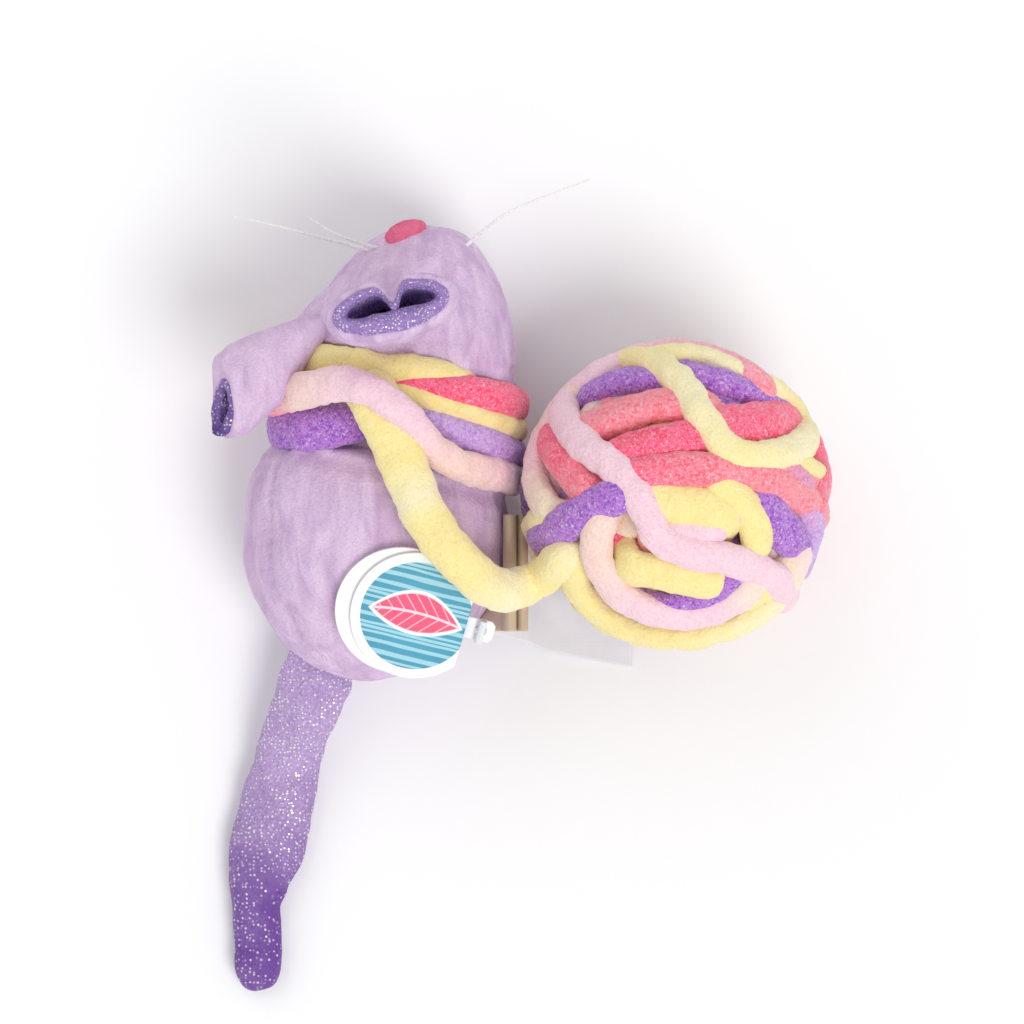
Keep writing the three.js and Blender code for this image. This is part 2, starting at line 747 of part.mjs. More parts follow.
/** One ring of the tail, square to its course and drawn in by an inset. */
function tailRing(i, inset) {
  const [, , widthShare, thickShare] = tailShares[i];
  const middle = tailMiddle(tailShares[i]);
  const course = tailMiddle(tailShares[i + 1]).sub(tailMiddle(tailShares[Math.max(i - 1, 0)])).setZ(0).normalize();
  const [halfWidth, halfThick] = [tailWidth / 2 * widthShare, tailThick / 2 * thickShare];
  const across = Math.max(halfWidth - inset, halfWidth / 2);
  const high = Math.max(halfThick - inset, halfThick / 2);
  return Array.from({ length: tailPoints }, (_, k) => {
    const angle = full * (k / tailPoints);
    const aside = across * Math.cos(angle);
    return middle.clone().add(new THREE.Vector3(-course.y * aside, course.x * aside, high * Math.sin(angle)));
  });
}

/** The tail's rings from its tip to its root, drawn in by an inset. */
function tailRings(inset, rows) {
  const tip = tailMiddle(tailShares.at(-1));
  tip.y += inset;
  return [[tip], ...rows.map((i) => tailRing(i, inset)).toReversed()];
}
const tailRows = tailShares.map((_, i) => i).slice(0, -1);
add('tail_cover', skin([...tailRings(0, tailRows), ...tailRings(glitterThick, tailRows).toReversed()]), glitter);
add('tail_filling', skin(tailRings(glitterThick + fillingGap, tailRows.slice(...tailFillingRows))), filling);

/** A closed outline of card, given its thickness. */
function leafOf(outline, hole) {
  const shape = new THREE.Shape(outline);
  if (hole) shape.holes.push(hole);
  const geometry = new THREE.ExtrudeGeometry(shape, { depth: tagThick, bevelEnabled: false });
  geometry.translate(0, 0, -tagThick / 2);
  return geometry;
}

/** The outline of a tag leaf: a disc at a distance from the fold, cut straight or carrying the spine. */
function leafOutline(distance, withSpine) {
  const half = spineWidth / 2;
  const edge = withSpine ? distance - Math.sqrt(tagRadius ** 2 - half ** 2) : seatGap;
  const start = Math.acos((edge - distance) / tagRadius);
  const outline = Array.from({ length: tagCorners + 1 }, (_, k) => {
    const angle = start * (1 - 2 * k / tagCorners);
    return new THREE.Vector2(distance + tagRadius * Math.cos(angle), tagRadius * Math.sin(angle));
  });
  if (withSpine) outline.push(new THREE.Vector2(-spineLength, -half), new THREE.Vector2(-spineLength, half));
  return outline;
}

/** The tag's frame: its fold at the origin, +X towards the discs and +Z up from the card. */
const tagZ = new THREE.Vector3(...tagUp).normalize();
const tagAcross = new THREE.Vector3(Math.cos(rad(tagTurn)), Math.sin(rad(tagTurn)), 0);
const tagY = new THREE.Vector3().crossVectors(tagZ, tagAcross).normalize();
const tagFrame = new THREE.Matrix4().makeBasis(new THREE.Vector3().crossVectors(tagY, tagZ), tagY, tagZ);
const tagSeatTurn = rad(tagSeatOn);
const tagRim = new THREE.Vector3(
  tagFold + tagShift + tagRadius * Math.cos(tagSeatTurn),
  tagRadius * Math.sin(tagSeatTurn),
  0,
).applyMatrix4(tagFrame);
tagFrame.setPosition(overForm(body, tagSeatShare, tagAngle, tagThick / 2 + seatGap + tagClear).sub(tagRim));

const holePlace = -spineLength / 2;
const pinWay = new THREE.Path(Array.from({ length: pinSides }, (_, k) => {
  const angle = full * (k / pinSides);
  return new THREE.Vector2(holePlace + pinHole * Math.cos(angle), pinHole * Math.sin(angle));
}));
add('tag_back', leafOf(leafOutline(tagFold + tagShift, true), pinWay), card).applyMatrix4(tagFrame);
const tagFront = leafOf(leafOutline(tagFold, false), null);
tagFront.translate(0, 0, tagThick + tagLeafGap);
add('tag_front', tagFront, card).applyMatrix4(tagFrame);

/** The pin: a filament from the cover up through the spine, with a bar across its end. */
function tagPin() {
  const headLevel = tagThick / 2 + seatGap + pinHeadRadius;
  const top = new THREE.Vector3(holePlace, 0, headLevel).applyMatrix4(tagFrame);
  const under = new THREE.Vector3(holePlace, 0, -pinDrop).applyMatrix4(tagFrame);
  const foot = overForm(body, pinSeatShare, pinAngle, seatGap + pinRadius);
  const filament = new THREE.CatmullRomCurve3([foot, under, top], false, 'centripetal');
  const bar = new THREE.CylinderGeometry(pinHeadRadius, pinHeadRadius, pinHeadLength, pinSides);
  bar.translate(holePlace, 0, headLevel);
  bar.applyMatrix4(tagFrame);
  return geometryOf(solidOf(cordAlong(filament, pinRadius, pinSides, pinSides)).add(solidOf(bar)));
}
add('tag_pin', tagPin(), plastic);

/** How far out the right flank of the body stands at a place along it and a level. */
function flank(y, level) {
  const { middle, halfWidth, halfHeight } = girthAt(body, (y - body.start) / body.reach);
  return middle.x + halfWidth * Math.sqrt(1 - ((level - middle.z) / halfHeight) ** 2);
}

const labelPlace = body.start + body.reach * labelSeatShare;

/** One leaf of the care label, its root edge along the flank. */
function labelLeaf(rootSteps, courseShares) {
  const level = labelLevel + leafStep * rootSteps;
  const course = courseShares.map(([out, aside, rise]) => [labelReach * out, labelReach * aside, level * rise]);
  const rootOut = flank(labelPlace, level) + labelClear;
  const grid = (side) => course.map(([out, aside, rise], r) => {
    const [before, after] = [course[Math.max(r - 1, 0)], course[Math.min(r + 1, course.length - 1)]];
    const run = new THREE.Vector2(after[0] - before[0], after[2] - before[2]).normalize();
    return Array.from({ length: labelColumns }, (_, c) => {
      const y = labelPlace + labelWidth * (c / (labelColumns - 1) - 1 / 2);
      const bend = (flank(y, level) + labelClear - rootOut) * (1 - r / (course.length - 1));
      return new THREE.Vector3(
        rootOut + bend + out - run.y * side * labelThick / 2,
        y + aside,
        level + rise + run.x * side * labelThick / 2,
      );
    });
  });
  return slab(grid(1), grid(-1));
}
for (const [name, [rootSteps, course]] of Object.entries(labelShares)) add(name, labelLeaf(rootSteps, course), satin);

/** A whisker from the muzzle to its tip, sagging between them. */
function whisker(share, angle, tip) {
  const root = overForm(head, share, angle, seatGap + whiskerRadius);
  const end = new THREE.Vector3(neckAside + headWidth * tip[0], neckPlace + headLength * tip[1], headHeight * tip[2]);
  const middle = root.clone().lerp(end, 1 / 2).add(new THREE.Vector3(0, -whiskerSag, whiskerSag));
  const curve = new THREE.CatmullRomCurve3([root, middle, end], false, 'centripetal');
  return cordAlong(curve, whiskerRadius, whiskerSides, whiskerSteps);
}
for (const [name, [share, angle, tip]] of Object.entries(whiskerShares)) add(name, whisker(share, angle, tip), thread);

export default mouse;
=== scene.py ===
"""A stuffed catnip mouse with glitter ears and tail, tied by chenille yarn to a yarn ball."""

import logging
import math
from dataclasses import dataclass
from enum import Enum
from typing import Any, Callable, Sequence

import bmesh
import bpy
import numpy as np
from mathutils import Matrix, Vector, noise


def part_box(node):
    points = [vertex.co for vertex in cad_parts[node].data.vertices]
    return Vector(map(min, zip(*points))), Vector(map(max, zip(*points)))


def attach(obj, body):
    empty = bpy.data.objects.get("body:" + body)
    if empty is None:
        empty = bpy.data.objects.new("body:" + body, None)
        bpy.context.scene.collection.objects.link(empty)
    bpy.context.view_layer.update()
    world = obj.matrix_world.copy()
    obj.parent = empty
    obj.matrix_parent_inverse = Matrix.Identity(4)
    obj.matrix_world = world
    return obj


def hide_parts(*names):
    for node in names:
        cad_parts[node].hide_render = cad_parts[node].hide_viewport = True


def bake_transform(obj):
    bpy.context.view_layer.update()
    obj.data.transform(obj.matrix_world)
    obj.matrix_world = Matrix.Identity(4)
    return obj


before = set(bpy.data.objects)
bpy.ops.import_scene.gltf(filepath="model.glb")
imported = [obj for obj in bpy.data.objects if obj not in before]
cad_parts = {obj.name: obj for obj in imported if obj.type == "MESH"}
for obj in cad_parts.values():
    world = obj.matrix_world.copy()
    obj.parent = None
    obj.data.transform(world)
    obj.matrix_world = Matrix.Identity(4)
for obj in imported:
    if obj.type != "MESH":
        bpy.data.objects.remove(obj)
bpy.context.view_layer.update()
LOG = logging.getLogger("catnip_mouse")

MM = 0.001
FULL = 2 * math.pi
UP = (0.0, 0.0, 1.0)
Array = np.ndarray
Placing = Callable[[Array, Array], Array]
Pair = tuple[float, float]
Triple = tuple[float, float, float]
Quad = tuple[float, float, float, float]
Shade = tuple[int, int, int]


def tone(red: float, green: float, blue: float) -> Quad:
    """Turns a display colour of 0 to 255 into the linear colour that a shader takes.

    Args:
        red, green, blue: the display values.

    Returns:
        Linear red, green, blue and an alpha of 1.
    """
    shares = [value / 255 for value in (red, green, blue)]
    linear = [s / 12.92 if s <= 0.04045 else ((s + 0.055) / 1.055) ** 2.4 for s in shares]
    return (*linear, 1.0)


class Dye(Enum):
    """The shades that the chenille yarn passes through along its length."""

    # a deep purple; on the ball's heart and its shaded lower left strand it is painted shade
    PLUM = (128, 62, 158)
    PURPLE = (184, 122, 214)
    LILAC = (206, 172, 230)
    HOT_PINK = (253, 112, 148)
    CORAL = (250, 150, 164)
    BLUSH = (251, 216, 228)
    PEACH = (252, 222, 210)
    CREAM = (252, 242, 200)
    YELLOW = (252, 236, 164)

    @property
    def linear(self) -> Array:
        """The shade as linear red, green and blue."""
        return np.array(tone(*self.value)[:3])


Stops = Sequence[tuple[float, Dye]]


# Shader maths


class Wire:
    """A node's output that takes part in Python expressions."""

    def __init__(self, recipe: "Recipe", socket: bpy.types.NodeSocket) -> None:
        """Keeps the recipe that the socket belongs to, and the socket."""
        self.recipe = recipe
        self.socket = socket

    def __add__(self, other: Any) -> "Wire":
        """Adds a value or wire."""
        return self.recipe.maths("ADD", self, other)

    def __radd__(self, other: Any) -> "Wire":
        """Adds to a value."""
        return self.recipe.maths("ADD", other, self)

    def __sub__(self, other: Any) -> "Wire":
        """Takes a value or wire away."""
        return self.recipe.maths("SUBTRACT", self, other)

    def __rsub__(self, other: Any) -> "Wire":
        """Takes this wire away from a value."""
        return self.recipe.maths("SUBTRACT", other, self)

    def __mul__(self, other: Any) -> "Wire":
        """Multiplies by a value or wire."""
        return self.recipe.maths("MULTIPLY", self, other)

    def __rmul__(self, other: Any) -> "Wire":
        """Multiplies a value."""
        return self.recipe.maths("MULTIPLY", other, self)

    def __truediv__(self, other: Any) -> "Wire":
        """Divides by a value or wire."""
        return self.recipe.maths("DIVIDE", self, other)

    def __pow__(self, other: Any) -> "Wire":
        """Raises to a power."""
        return self.recipe.maths("POWER", self, other)

    def __abs__(self) -> "Wire":
        """The size without its sign."""
        return self.recipe.maths("ABSOLUTE", self)

    def held(self) -> "Wire":
        """The same wire, held between 0 and 1."""
        return self.recipe.node("ShaderNodeClamp", {}, {"Value": self})["Result"]

    def step(self, edge: float, soft: float) -> "Wire":
        """Rises from 0 to 1 across an edge.

        Args:
            edge: the value at the middle of the rise.
            soft: how wide the rise is.

        Returns:
            The mask as a wire.
        """
        return ((self - edge) / soft + 0.5).held()


class Node:
    """A shader node whose outputs are read as wires by their names."""

    def __init__(self, recipe: "Recipe", node: bpy.types.Node) -> None:
        """Keeps the recipe and the node."""
        self.recipe = recipe
        self.node = node

    def __getitem__(self, name: str | int) -> Wire:
        """The wire of one output."""
        return Wire(self.recipe, self.node.outputs[name])


class Recipe:
    """One material in the making."""

    def __init__(self, name: str) -> None:
        """Starts an empty node tree.

        Args:
            name: the material's name.
        """
        self.material = bpy.data.materials.new(name)
        self.material.use_nodes = True
        self.tree = self.material.node_tree
        self.tree.nodes.clear()

    def node(self, kind: str, settings: dict[str, Any], sockets: dict[str | int, Any]) -> Node:
        """Adds one node: its settings first, then its sockets.

        Args:
            kind: the node's type.
            settings: its properties.
            sockets: a value, wire or node output for each input.

        Returns:
            The new node.
        """
        made = self.tree.nodes.new(kind)
        for name, value in settings.items():
            setattr(made, name, value)
        for name, value in sockets.items():
            if isinstance(value, Wire):
                self.tree.links.new(value.socket, made.inputs[name])
            else:
                made.inputs[name].default_value = value
        return Node(self, made)

    def maths(self, operation: str, *values: Any) -> Wire:
        """Adds a Math node on numbers and wires."""
        return self.node("ShaderNodeMath", {"operation": operation}, dict(enumerate(values)))["Value"]

    def place(self) -> Wire:
        """The point of the surface, in metres in the object's own frame."""
        return self.node("ShaderNodeTexCoord", {}, {})["Object"]

    def stretched(self, wire: Wire, scale: Triple, turn: Triple = (0, 0, 0)) -> Wire:
        """A point scaled along its axes and turned.

        Args:
            wire: the point.
            scale: the factor along each axis.
            turn: the turn about each axis, in degrees.

        Returns:
            The moved point as a wire.
        """
        sockets = {"Vector": wire, "Scale": scale, "Rotation": tuple(math.radians(a) for a in turn)}
        return self.node("ShaderNodeMapping", {}, sockets)["Vector"]

    def grain(self, wire: Wire, size_mm: float, detail: float = 2.0, warp: float = 0.0) -> Wire:
        """Noise whose lumps are about a size.

        Args:
            wire: the point that it is read at.
            size_mm: the lumps' size in millimetres.
            detail: how many finer layers it has.
            warp: how far it is distorted.

        Returns:
            The noise, about 0.5 in the middle.
        """
        sockets = {"Vector": wire, "Scale": 1 / (size_mm * MM), "Detail": detail, "Distortion": warp}
        return self.node("ShaderNodeTexNoise", {}, sockets)["Fac"]

    def blend(self, mask: Any, low: Any, high: Any, mode: str = "MIX") -> Wire:
        """Mixes two colours.

        Args:
            mask: the share of the second colour.
            low: the first colour.
            high: the second colour.
            mode: the mix's mode.

        Returns:
            The mixed colour.
        """
        settings = {"data_type": "RGBA", "blend_type": mode}
        return self.node("ShaderNodeMix", settings, {0: mask, 6: low, 7: high})[2]

    def relief(self, height: Wire, depth_mm: float) -> Wire:
        """Bends the shading normal by a height.

        Args:
            height: the height, from 0 to 1.
            depth_mm: the real height of 1.

        Returns:
            The normal.
        """
        sockets = {"Height": height, "Distance": depth_mm * MM, "Strength": 1.0}
        return self.node("ShaderNodeBump", {}, sockets)["Normal"]

    def coat(self, sockets: dict[str | int, Any]) -> bpy.types.Material:
        """Closes the recipe with its shader.

        Args:
            sockets: the shader's inputs.

        Returns:
            The finished material.
        """
        shader = self.node("ShaderNodeBsdfPrincipled", {}, sockets)
        self.node("ShaderNodeOutputMaterial", {}, {"Surface": shader["BSDF"]})
        return self.material


# Finishes


@dataclass(frozen=True)
class PlushFinish:
    """Velour with a short pile that catches light where it stands on end."""

    name: str
    bright: Shade
    shade: Shade
    rose: Shade
    pile_mm: float = 0.42
    sheen: float = 0.35

    def material(self) -> bpy.types.Material:
        """Builds the finish: brushed streaks, a rosy cast and the pile's own grain."""
        r = Recipe(self.name)
        at = r.place()
        brushed = r.grain(r.stretched(at, (1.0, 0.3, 1.0), (0, 0, 14)), 3.2, 4.0, 0.6)
        cloud = r.grain(at, 16, 2.0)
        pile = r.grain(at, self.pile_mm, 3.0)
        tufts = r.grain(at, 1.1, 2.0)
        base = r.blend(brushed.step(0.5, 0.34), tone(*self.shade), tone(*self.bright))
        base = r.blend(cloud.step(0.56, 0.3) * 0.45, base, tone(*self.rose))
        base = r.blend((1 - pile.step(0.42, 0.3)) * 0.28, base, tone(*[c * 0.8 for c in self.shade]))
        normal = r.relief(pile * 0.6 + tufts * 0.5 + brushed * 0.4, 0.42)
        return r.coat({
            "Base Color": base, "Roughness": 0.95, "Specular IOR Level": 0.12, "Normal": normal,
            "Sheen Weight": self.sheen, "Sheen Roughness": 0.5, "Sheen Tint": tone(*self.bright),
        })


@dataclass(frozen=True)
class GlitterFinish:
    """Cloth printed with small foil dots, dense at one end of a piece and sparse at the other."""

    name: str
    pale: Shade
    deep: Shade
    foil: Shade
    far_y_mm: float
    near_y_mm: float
    spacing_mm: float = 0.74

    def material(self) -> bpy.types.Material:
        """Builds the finish: dyed cloth, foil dots whose uneven brightness is painted glint, and a fine knit.
        """
        r = Recipe(self.name)
        at = r.place()
        along = r.node("ShaderNodeSeparateXYZ", {}, {"Vector": at})["Y"]
        share = ((along / MM - self.far_y_mm) / (self.near_y_mm - self.far_y_mm)).held()
        cloud = r.grain(at, 9, 3.0)
        cells = r.node("ShaderNodeTexVoronoi", {"feature": "F1"}, {
            "Vector": at, "Scale": 1 / (self.spacing_mm * MM), "Randomness": 0.75})
        chance = r.node("ShaderNodeSeparateColor", {}, {"Color": cells["Color"]})
        dots = 1 - cells["Distance"].step(0.34, 0.16)
        lit = (chance["Red"] + share * 0.5 + (cloud - 0.5) * 1.2).step(0.62, 0.6)
        dots = dots * lit
        knit = r.grain(at, 0.5, 2.0)
        cloth = r.blend((share * 1.1 + (cloud - 0.5) * 1.1).held(), tone(*self.deep), tone(*self.pale))
        cloth = r.blend((1 - knit.step(0.45, 0.4)) * 0.4, cloth, tone(*[c * 0.62 for c in self.deep]))
        # painted glint over real foil print: the dots are near-white, each lightened by a random share
        base = r.blend(dots * (0.55 + chance["Green"] * 0.45), cloth, tone(*self.foil))
        normal = r.relief(knit * 0.35 + dots * 0.4 + chance["Blue"] * dots * 0.5, 0.22)
        return r.coat({
            "Base Color": base, "Roughness": 0.62 - dots * 0.34, "Metallic": dots * 0.35, "Normal": normal,
            "Specular IOR Level": 0.4, "Sheen Weight": 0.15, "Sheen Tint": tone(*self.pale),
        })


@dataclass(frozen=True)
class ChenilleFinish:
    """Fat chenille yarn: short velvet tufts, with painted shade down between them and painted highlights on
    their tips.
    """

    name: str
    tuft_mm: float = 0.92

    def material(self) -> bpy.types.Material:
        """Builds the finish from the dye that each strand carries, with painted shade and painted highlights
        laid over it.
        """
        r = Recipe(self.name)
        at = r.place()
        dye = r.node("ShaderNodeAttribute", {"attribute_name": "dye"}, {})["Color"]
        light = r.node("ShaderNodeRGBToBW", {}, {"Color": dye})["Val"]
        # how strongly the painted shade and highlights show: strongly on deep dyes, faintly on pale ones
        painted_light_strength = (1.18 - light * 1.1).held()
        fibre = r.grain(at, self.tuft_mm * 0.34, 3.0)
        tuft = r.grain(at, self.tuft_mm * 0.8, 2.0, 0.5)
        other = r.grain(r.stretched(at, (1.0, 1.0, 1.0), (37, 21, 64)), self.tuft_mm * 0.62, 3.0, 0.5)
        cloud = r.grain(at, self.tuft_mm * 4.0, 2.0)
        # painted shade: a noise mask for the pits between the tufts, where the dye is darkened by multiplying
        # it with itself
        depth = ((0.52 - tuft) * 5.6 + (0.5 - fibre) * 2.4 + (0.5 - cloud) * 1.6 + 0.1).held()
        root = r.blend(0.8, dye, dye, "MULTIPLY")
        base = r.blend(depth * (painted_light_strength * 0.9 + 0.16).held(), dye, root)
        # painted highlight: near-white on the tufts' tips
        painted_tip_highlight = ((other - 0.54) * 5.0 + (fibre - 0.5) * 2.5).held()
        base = r.blend(painted_tip_highlight * (painted_light_strength * 0.34 + 0.2), base, tone(255, 246, 250))
        normal = r.relief(tuft * 0.9 + fibre * 0.5, 0.34)
        return r.coat({
            "Base Color": base, "Roughness": 0.97, "Specular IOR Level": 0.06, "Normal": normal,
            "Sheen Weight": 0.4, "Sheen Roughness": 0.55,
        })


@dataclass(frozen=True)
class PrintedCardFinish:
    """White board, with a round print of thin bowed lines and a leaf where printed."""

    name: str
    printed: bool
    print_share: float = 0.85
    leaf_half: Pair = (0.68, 0.3)
    leaf_rim: float = 0.055
    rib_half: float = 0.02
    vein_half: float = 0.014
    vein_spacing: float = 0.09

    def material(self) -> bpy.types.Material:
        """Builds the finish in the disc's own UV map, from -1 to 1 across the disc."""
        r = Recipe(self.name)
        board = r.grain(r.place(), 1.6, 3.0)
        base = r.blend(board.step(0.5, 0.6) * 0.25, tone(246, 246, 248), tone(228, 229, 233))
        if self.printed:
            uv = r.node("ShaderNodeUVMap", {"uv_map": "UVMap"}, {})["UV"]
            parts = r.node("ShaderNodeSeparateXYZ", {}, {"Vector": uv})
            x, y = parts["X"] * 2 - 1, parts["Y"] * 2 - 1
            out = (x * x + y * y) ** 0.5
            ink = self.leaf(r, x, y, self.bowed_lines(r, x, y, out))
            base = r.blend(1 - out.step(self.print_share, 0.012), base, ink)
        return r.coat({
            "Base Color": base, "Roughness": 0.38, "Specular IOR Level": 0.45, "Coat Weight": 0.15,
            "Normal": r.relief(board, 0.02),
        })

    def rings(self, r: Recipe, x: Wire, y: Wire, scale: float, warp: float) -> Wire:
        """Bowed lines: rings about a point beside the disc.

        Args:
            r: the card's recipe.
            x, y: the place, seen from the rings' middle.
            scale: how close the rings lie.
            warp: how far they are distorted.

        Returns:
            The lines as a wire.
        """
        around = r.node("ShaderNodeCombineXYZ", {}, {"X": x, "Y": y})["Vector"]
        sockets = {"Vector": around, "Scale": scale, "Distortion": warp, "Detail": 1.0, "Detail Scale": 0.6}
        return r.node("ShaderNodeTexWave", {"wave_type": "RINGS"}, sockets)["Fac"]

    def bowed_lines(self, r: Recipe, x: Wire, y: Wire, out: Wire) -> Wire:
        """Prints two sets of pale bowed lines on blue, deeper towards the edge.

        Args:
            r: the card's recipe.
            x, y: the place on the disc.
            out: how far it is from the disc's middle.

        Returns:
            The print's colour.
        """
        bowed = self.rings(r, x + 1.3, y - 0.9, 2.3, 1.2)
        crossed = self.rings(r, x - 1.6, y - 0.5, 1.7, 0.8)
        lines = (bowed.step(0.8, 0.16) + crossed.step(0.86, 0.12)).held()
        ink = r.blend(out.step(0.45, 0.9) * 0.6, tone(64, 166, 196), tone(38, 128, 160))
        return r.blend(lines * 0.8, ink, tone(170, 220, 232))

    def leaf(self, r: Recipe, x: Wire, y: Wire, ink: Wire) -> Wire:
        """Prints a bent leaf with a white rim, a rib and veins over a colour.

        Args:
            r: the card's recipe.
            x, y: the place on the disc.
            ink: the colour under it.

        Returns:
            The print's colour.
        """
        off_rib = abs(y + x * x * 0.16 - 0.05)
        inside = (1 - (x / self.leaf_half[0]) ** 2) * self.leaf_half[1] - off_rib
        blade = inside.step(0.0, 0.025)
        rim = (inside + self.leaf_rim).step(0.0, 0.025)
        rib = 1 - off_rib.step(self.rib_half, 0.012)
        slanted = r.maths("PINGPONG", x + off_rib * 0.9, self.vein_spacing)
        veins = (1 - slanted.step(self.vein_half, 0.012)) * blade
        ink = r.blend(rim, ink, tone(250, 248, 250))
        ink = r.blend(blade, ink, tone(236, 74, 118))
        return r.blend((rib * blade + veins * 0.55).held(), ink, tone(252, 214, 224))


@dataclass(frozen=True)
class TapeFinish:
    """Narrow woven satin tape, with ribs across it."""

    name: str
    colour: Shade
    shade: Shade

    def material(self) -> bpy.types.Material:
        """Builds the finish: ribs of the weave with faint painted shade between them, and soft cloudy patches
        of the second colour.
        """
        r = Recipe(self.name)
        at = r.place()
        ribs = r.node("ShaderNodeTexWave", {"bands_direction": "Y"}, {
            "Vector": at, "Scale": 420.0, "Distortion": 0.6, "Detail": 1.0})["Fac"]
        cloud = r.grain(at, 5, 3.0)
        base = r.blend(cloud.step(0.5, 0.5) * 0.7, tone(*self.colour), tone(*self.shade))
        # painted shade: a faint darkening in the grooves between the ribs
        base = r.blend((1 - ribs) * 0.02, base, tone(*[c * 0.75 for c in self.shade]))
        return r.coat({
            "Base Color": base, "Roughness": 0.52, "Specular IOR Level": 0.4,
            "Normal": r.relief(ribs * 0.06 + cloud * 0.6, 0.06), "Sheen Weight": 0.2,
        })


@dataclass(frozen=True)
class FibreFinish:
    """Loose fibre, thread or herb cloth: tangled hairs in two shades."""

    name: str
    colour: Shade
    shade: Shade
    hair_mm: float
    roughness: float = 0.9
    relief_mm: float = 0.2

    def material(self) -> bpy.types.Material:
        """Builds the finish from two crossed grains."""
        r = Recipe(self.name)
        at = r.place()
        one = r.grain(r.stretched(at, (1.0, 0.15, 1.0), (0, 0, 35)), self.hair_mm, 2.0, 0.8)
        other = r.grain(r.stretched(at, (0.15, 1.0, 1.0), (20, 0, 0)), self.hair_mm, 2.0, 0.8)
        tangle = r.maths("MAXIMUM", one, other)
        base = r.blend(tangle.step(0.55, 0.3), tone(*self.shade), tone(*self.colour))
        return r.coat({
            "Base Color": base, "Roughness": self.roughness, "Specular IOR Level": 0.25,
            "Normal": r.relief(tangle, self.relief_mm), "Sheen Weight": 0.2,
        })


@dataclass(frozen=True)
class PinFinish:
    """Clear moulded plastic of the tag's pin."""

    name: str = "pin_plastic_dressed"

    def material(self) -> bpy.types.Material:
        """Builds the finish: milky plastic with faint drawing lines."""
        r = Recipe(self.name)
        lines = r.grain(r.stretched(r.place(), (1, 1, 0.1)), 0.2, 1.0)
        base = r.blend(lines, tone(238, 240, 243), tone(214, 220, 226))
        return r.coat({
            "Base Color": base, "Roughness": 0.28, "Specular IOR Level": 0.5, "Coat Weight": 0.3,
            "Normal": r.relief(lines, 0.02),
        })


@dataclass(frozen=True)
class Wardrobe:
    """All finishes, made once."""

    plush: bpy.types.Material
    nose: bpy.types.Material
    tail: bpy.types.Material
    lining: bpy.types.Material
    yarn: bpy.types.Material
    tag_print: bpy.types.Material
    tag_plain: bpy.types.Material
    shaded_tape: bpy.types.Material
    white_tape: bpy.types.Material
    thread: bpy.types.Material
    filling: bpy.types.Material
    herb: bpy.types.Material
    pin: bpy.types.Material

    @staticmethod
    def filled() -> "Wardrobe":
        """Makes every finish of the toy."""
        return Wardrobe(
            plush=PlushFinish("plush_lavender", (228, 204, 234), (198, 168, 206), (238, 210, 232)).material(),
            nose=PlushFinish(
                "plush_pink_nose", (236, 116, 150), (208, 78, 116), (242, 142, 170), pile_mm=0.4, sheen=0.3,
            ).material(),
            tail=GlitterFinish(
                "glitter_tail", (190, 162, 210), (112, 68, 156), (242, 234, 250), far_y_mm=-72, near_y_mm=-38,
            ).material(),
            lining=GlitterFinish(
                "glitter_lining", (162, 130, 198), (76, 40, 126), (246, 240, 253), far_y_mm=16, near_y_mm=41,
                spacing_mm=0.6,
            ).material(),
            yarn=ChenilleFinish("chenille_variegated").material(),
            tag_print=PrintedCardFinish("tag_card_printed", True).material(),
            tag_plain=PrintedCardFinish("tag_card_white", False).material(),
            # the label's leaves are white satin; their tan is painted warm shade and light thrown back from
            # the yellow yarn
            shaded_tape=TapeFinish("tape_painted_warm_shade", (214, 196, 172), (190, 166, 142)).material(),
            # the long page is white satin; its light grey is painted shade
            white_tape=TapeFinish("tape_white", (234, 234, 238), (224, 225, 230)).material(),
            thread=FibreFinish("whisker_thread", (250, 249, 248), (226, 224, 222), 0.4, 0.5, 0.03).material(),
            filling=FibreFinish("fibre_filling_loose", (240, 238, 232), (206, 204, 198), 0.8).material(),
            herb=FibreFinish("herb_cloth_woven", (176, 172, 124), (128, 122, 82), 0.5).material(),
            pin=PinFinish().material(),
        )


# Mesh making


class Bench:
    """A mesh in the making, laid out from mapped grids and shapes."""

    def __init__(self, name: str, dyed: bool = False) -> None:
        """Starts an empty mesh.

        Args:
            name: the piece's name.
            dyed: whether its points carry a dye.
        """
        self.name = name
        self.bm = bmesh.new()
        self.bm.loops.layers.uv.new("UVMap")
        self.dye = self.bm.verts.layers.float_color.new("dye") if dyed else None

    def laid(self, columns: int, rows: int, place: Placing, dyes: Placing | None = None) -> None:
        """Lays a grid onto a surface.

        Args:
            columns: how many faces it has across.
            rows: how many it has along.
            place: gives the points in millimetres from their shares across and along.
            dyes: gives the points' linear colours in the same way.
        """
        grid = bmesh.ops.create_grid(self.bm, x_segments=columns, y_segments=rows, size=1, calc_uvs=True)
        made = grid["verts"]
        flat = (np.array([vert.co[:2] for vert in made]) + 1) / 2
        for vert, point in zip(made, (place(flat[:, 0], flat[:, 1]) * MM).tolist()):
            vert.co = point
        if dyes is not None:
            for vert, colour in zip(made, dyes(flat[:, 0], flat[:, 1]).tolist()):
                vert[self.dye] = (*colour, 1.0)

    def piece(self, closed: bool = True) -> bpy.types.Object:
        """Merges the seams and makes the object.

        Args:
            closed: whether its faces are turned outwards as a closed shell.

        Returns:
            The new object, shaded smooth.
        """
        bmesh.ops.remove_doubles(self.bm, verts=self.bm.verts, dist=1e-6)
        bmesh.ops.dissolve_degenerate(self.bm, edges=self.bm.edges, dist=1e-7)
        if closed:
            bmesh.ops.recalc_face_normals(self.bm, faces=self.bm.faces)
        for face in self.bm.faces:
            face.smooth = True
        mesh = bpy.data.meshes.new(self.name)
        self.bm.to_mesh(mesh)
        self.bm.free()
        made = bpy.data.objects.new(self.name, mesh)
        bpy.context.scene.collection.objects.link(made)
        return made


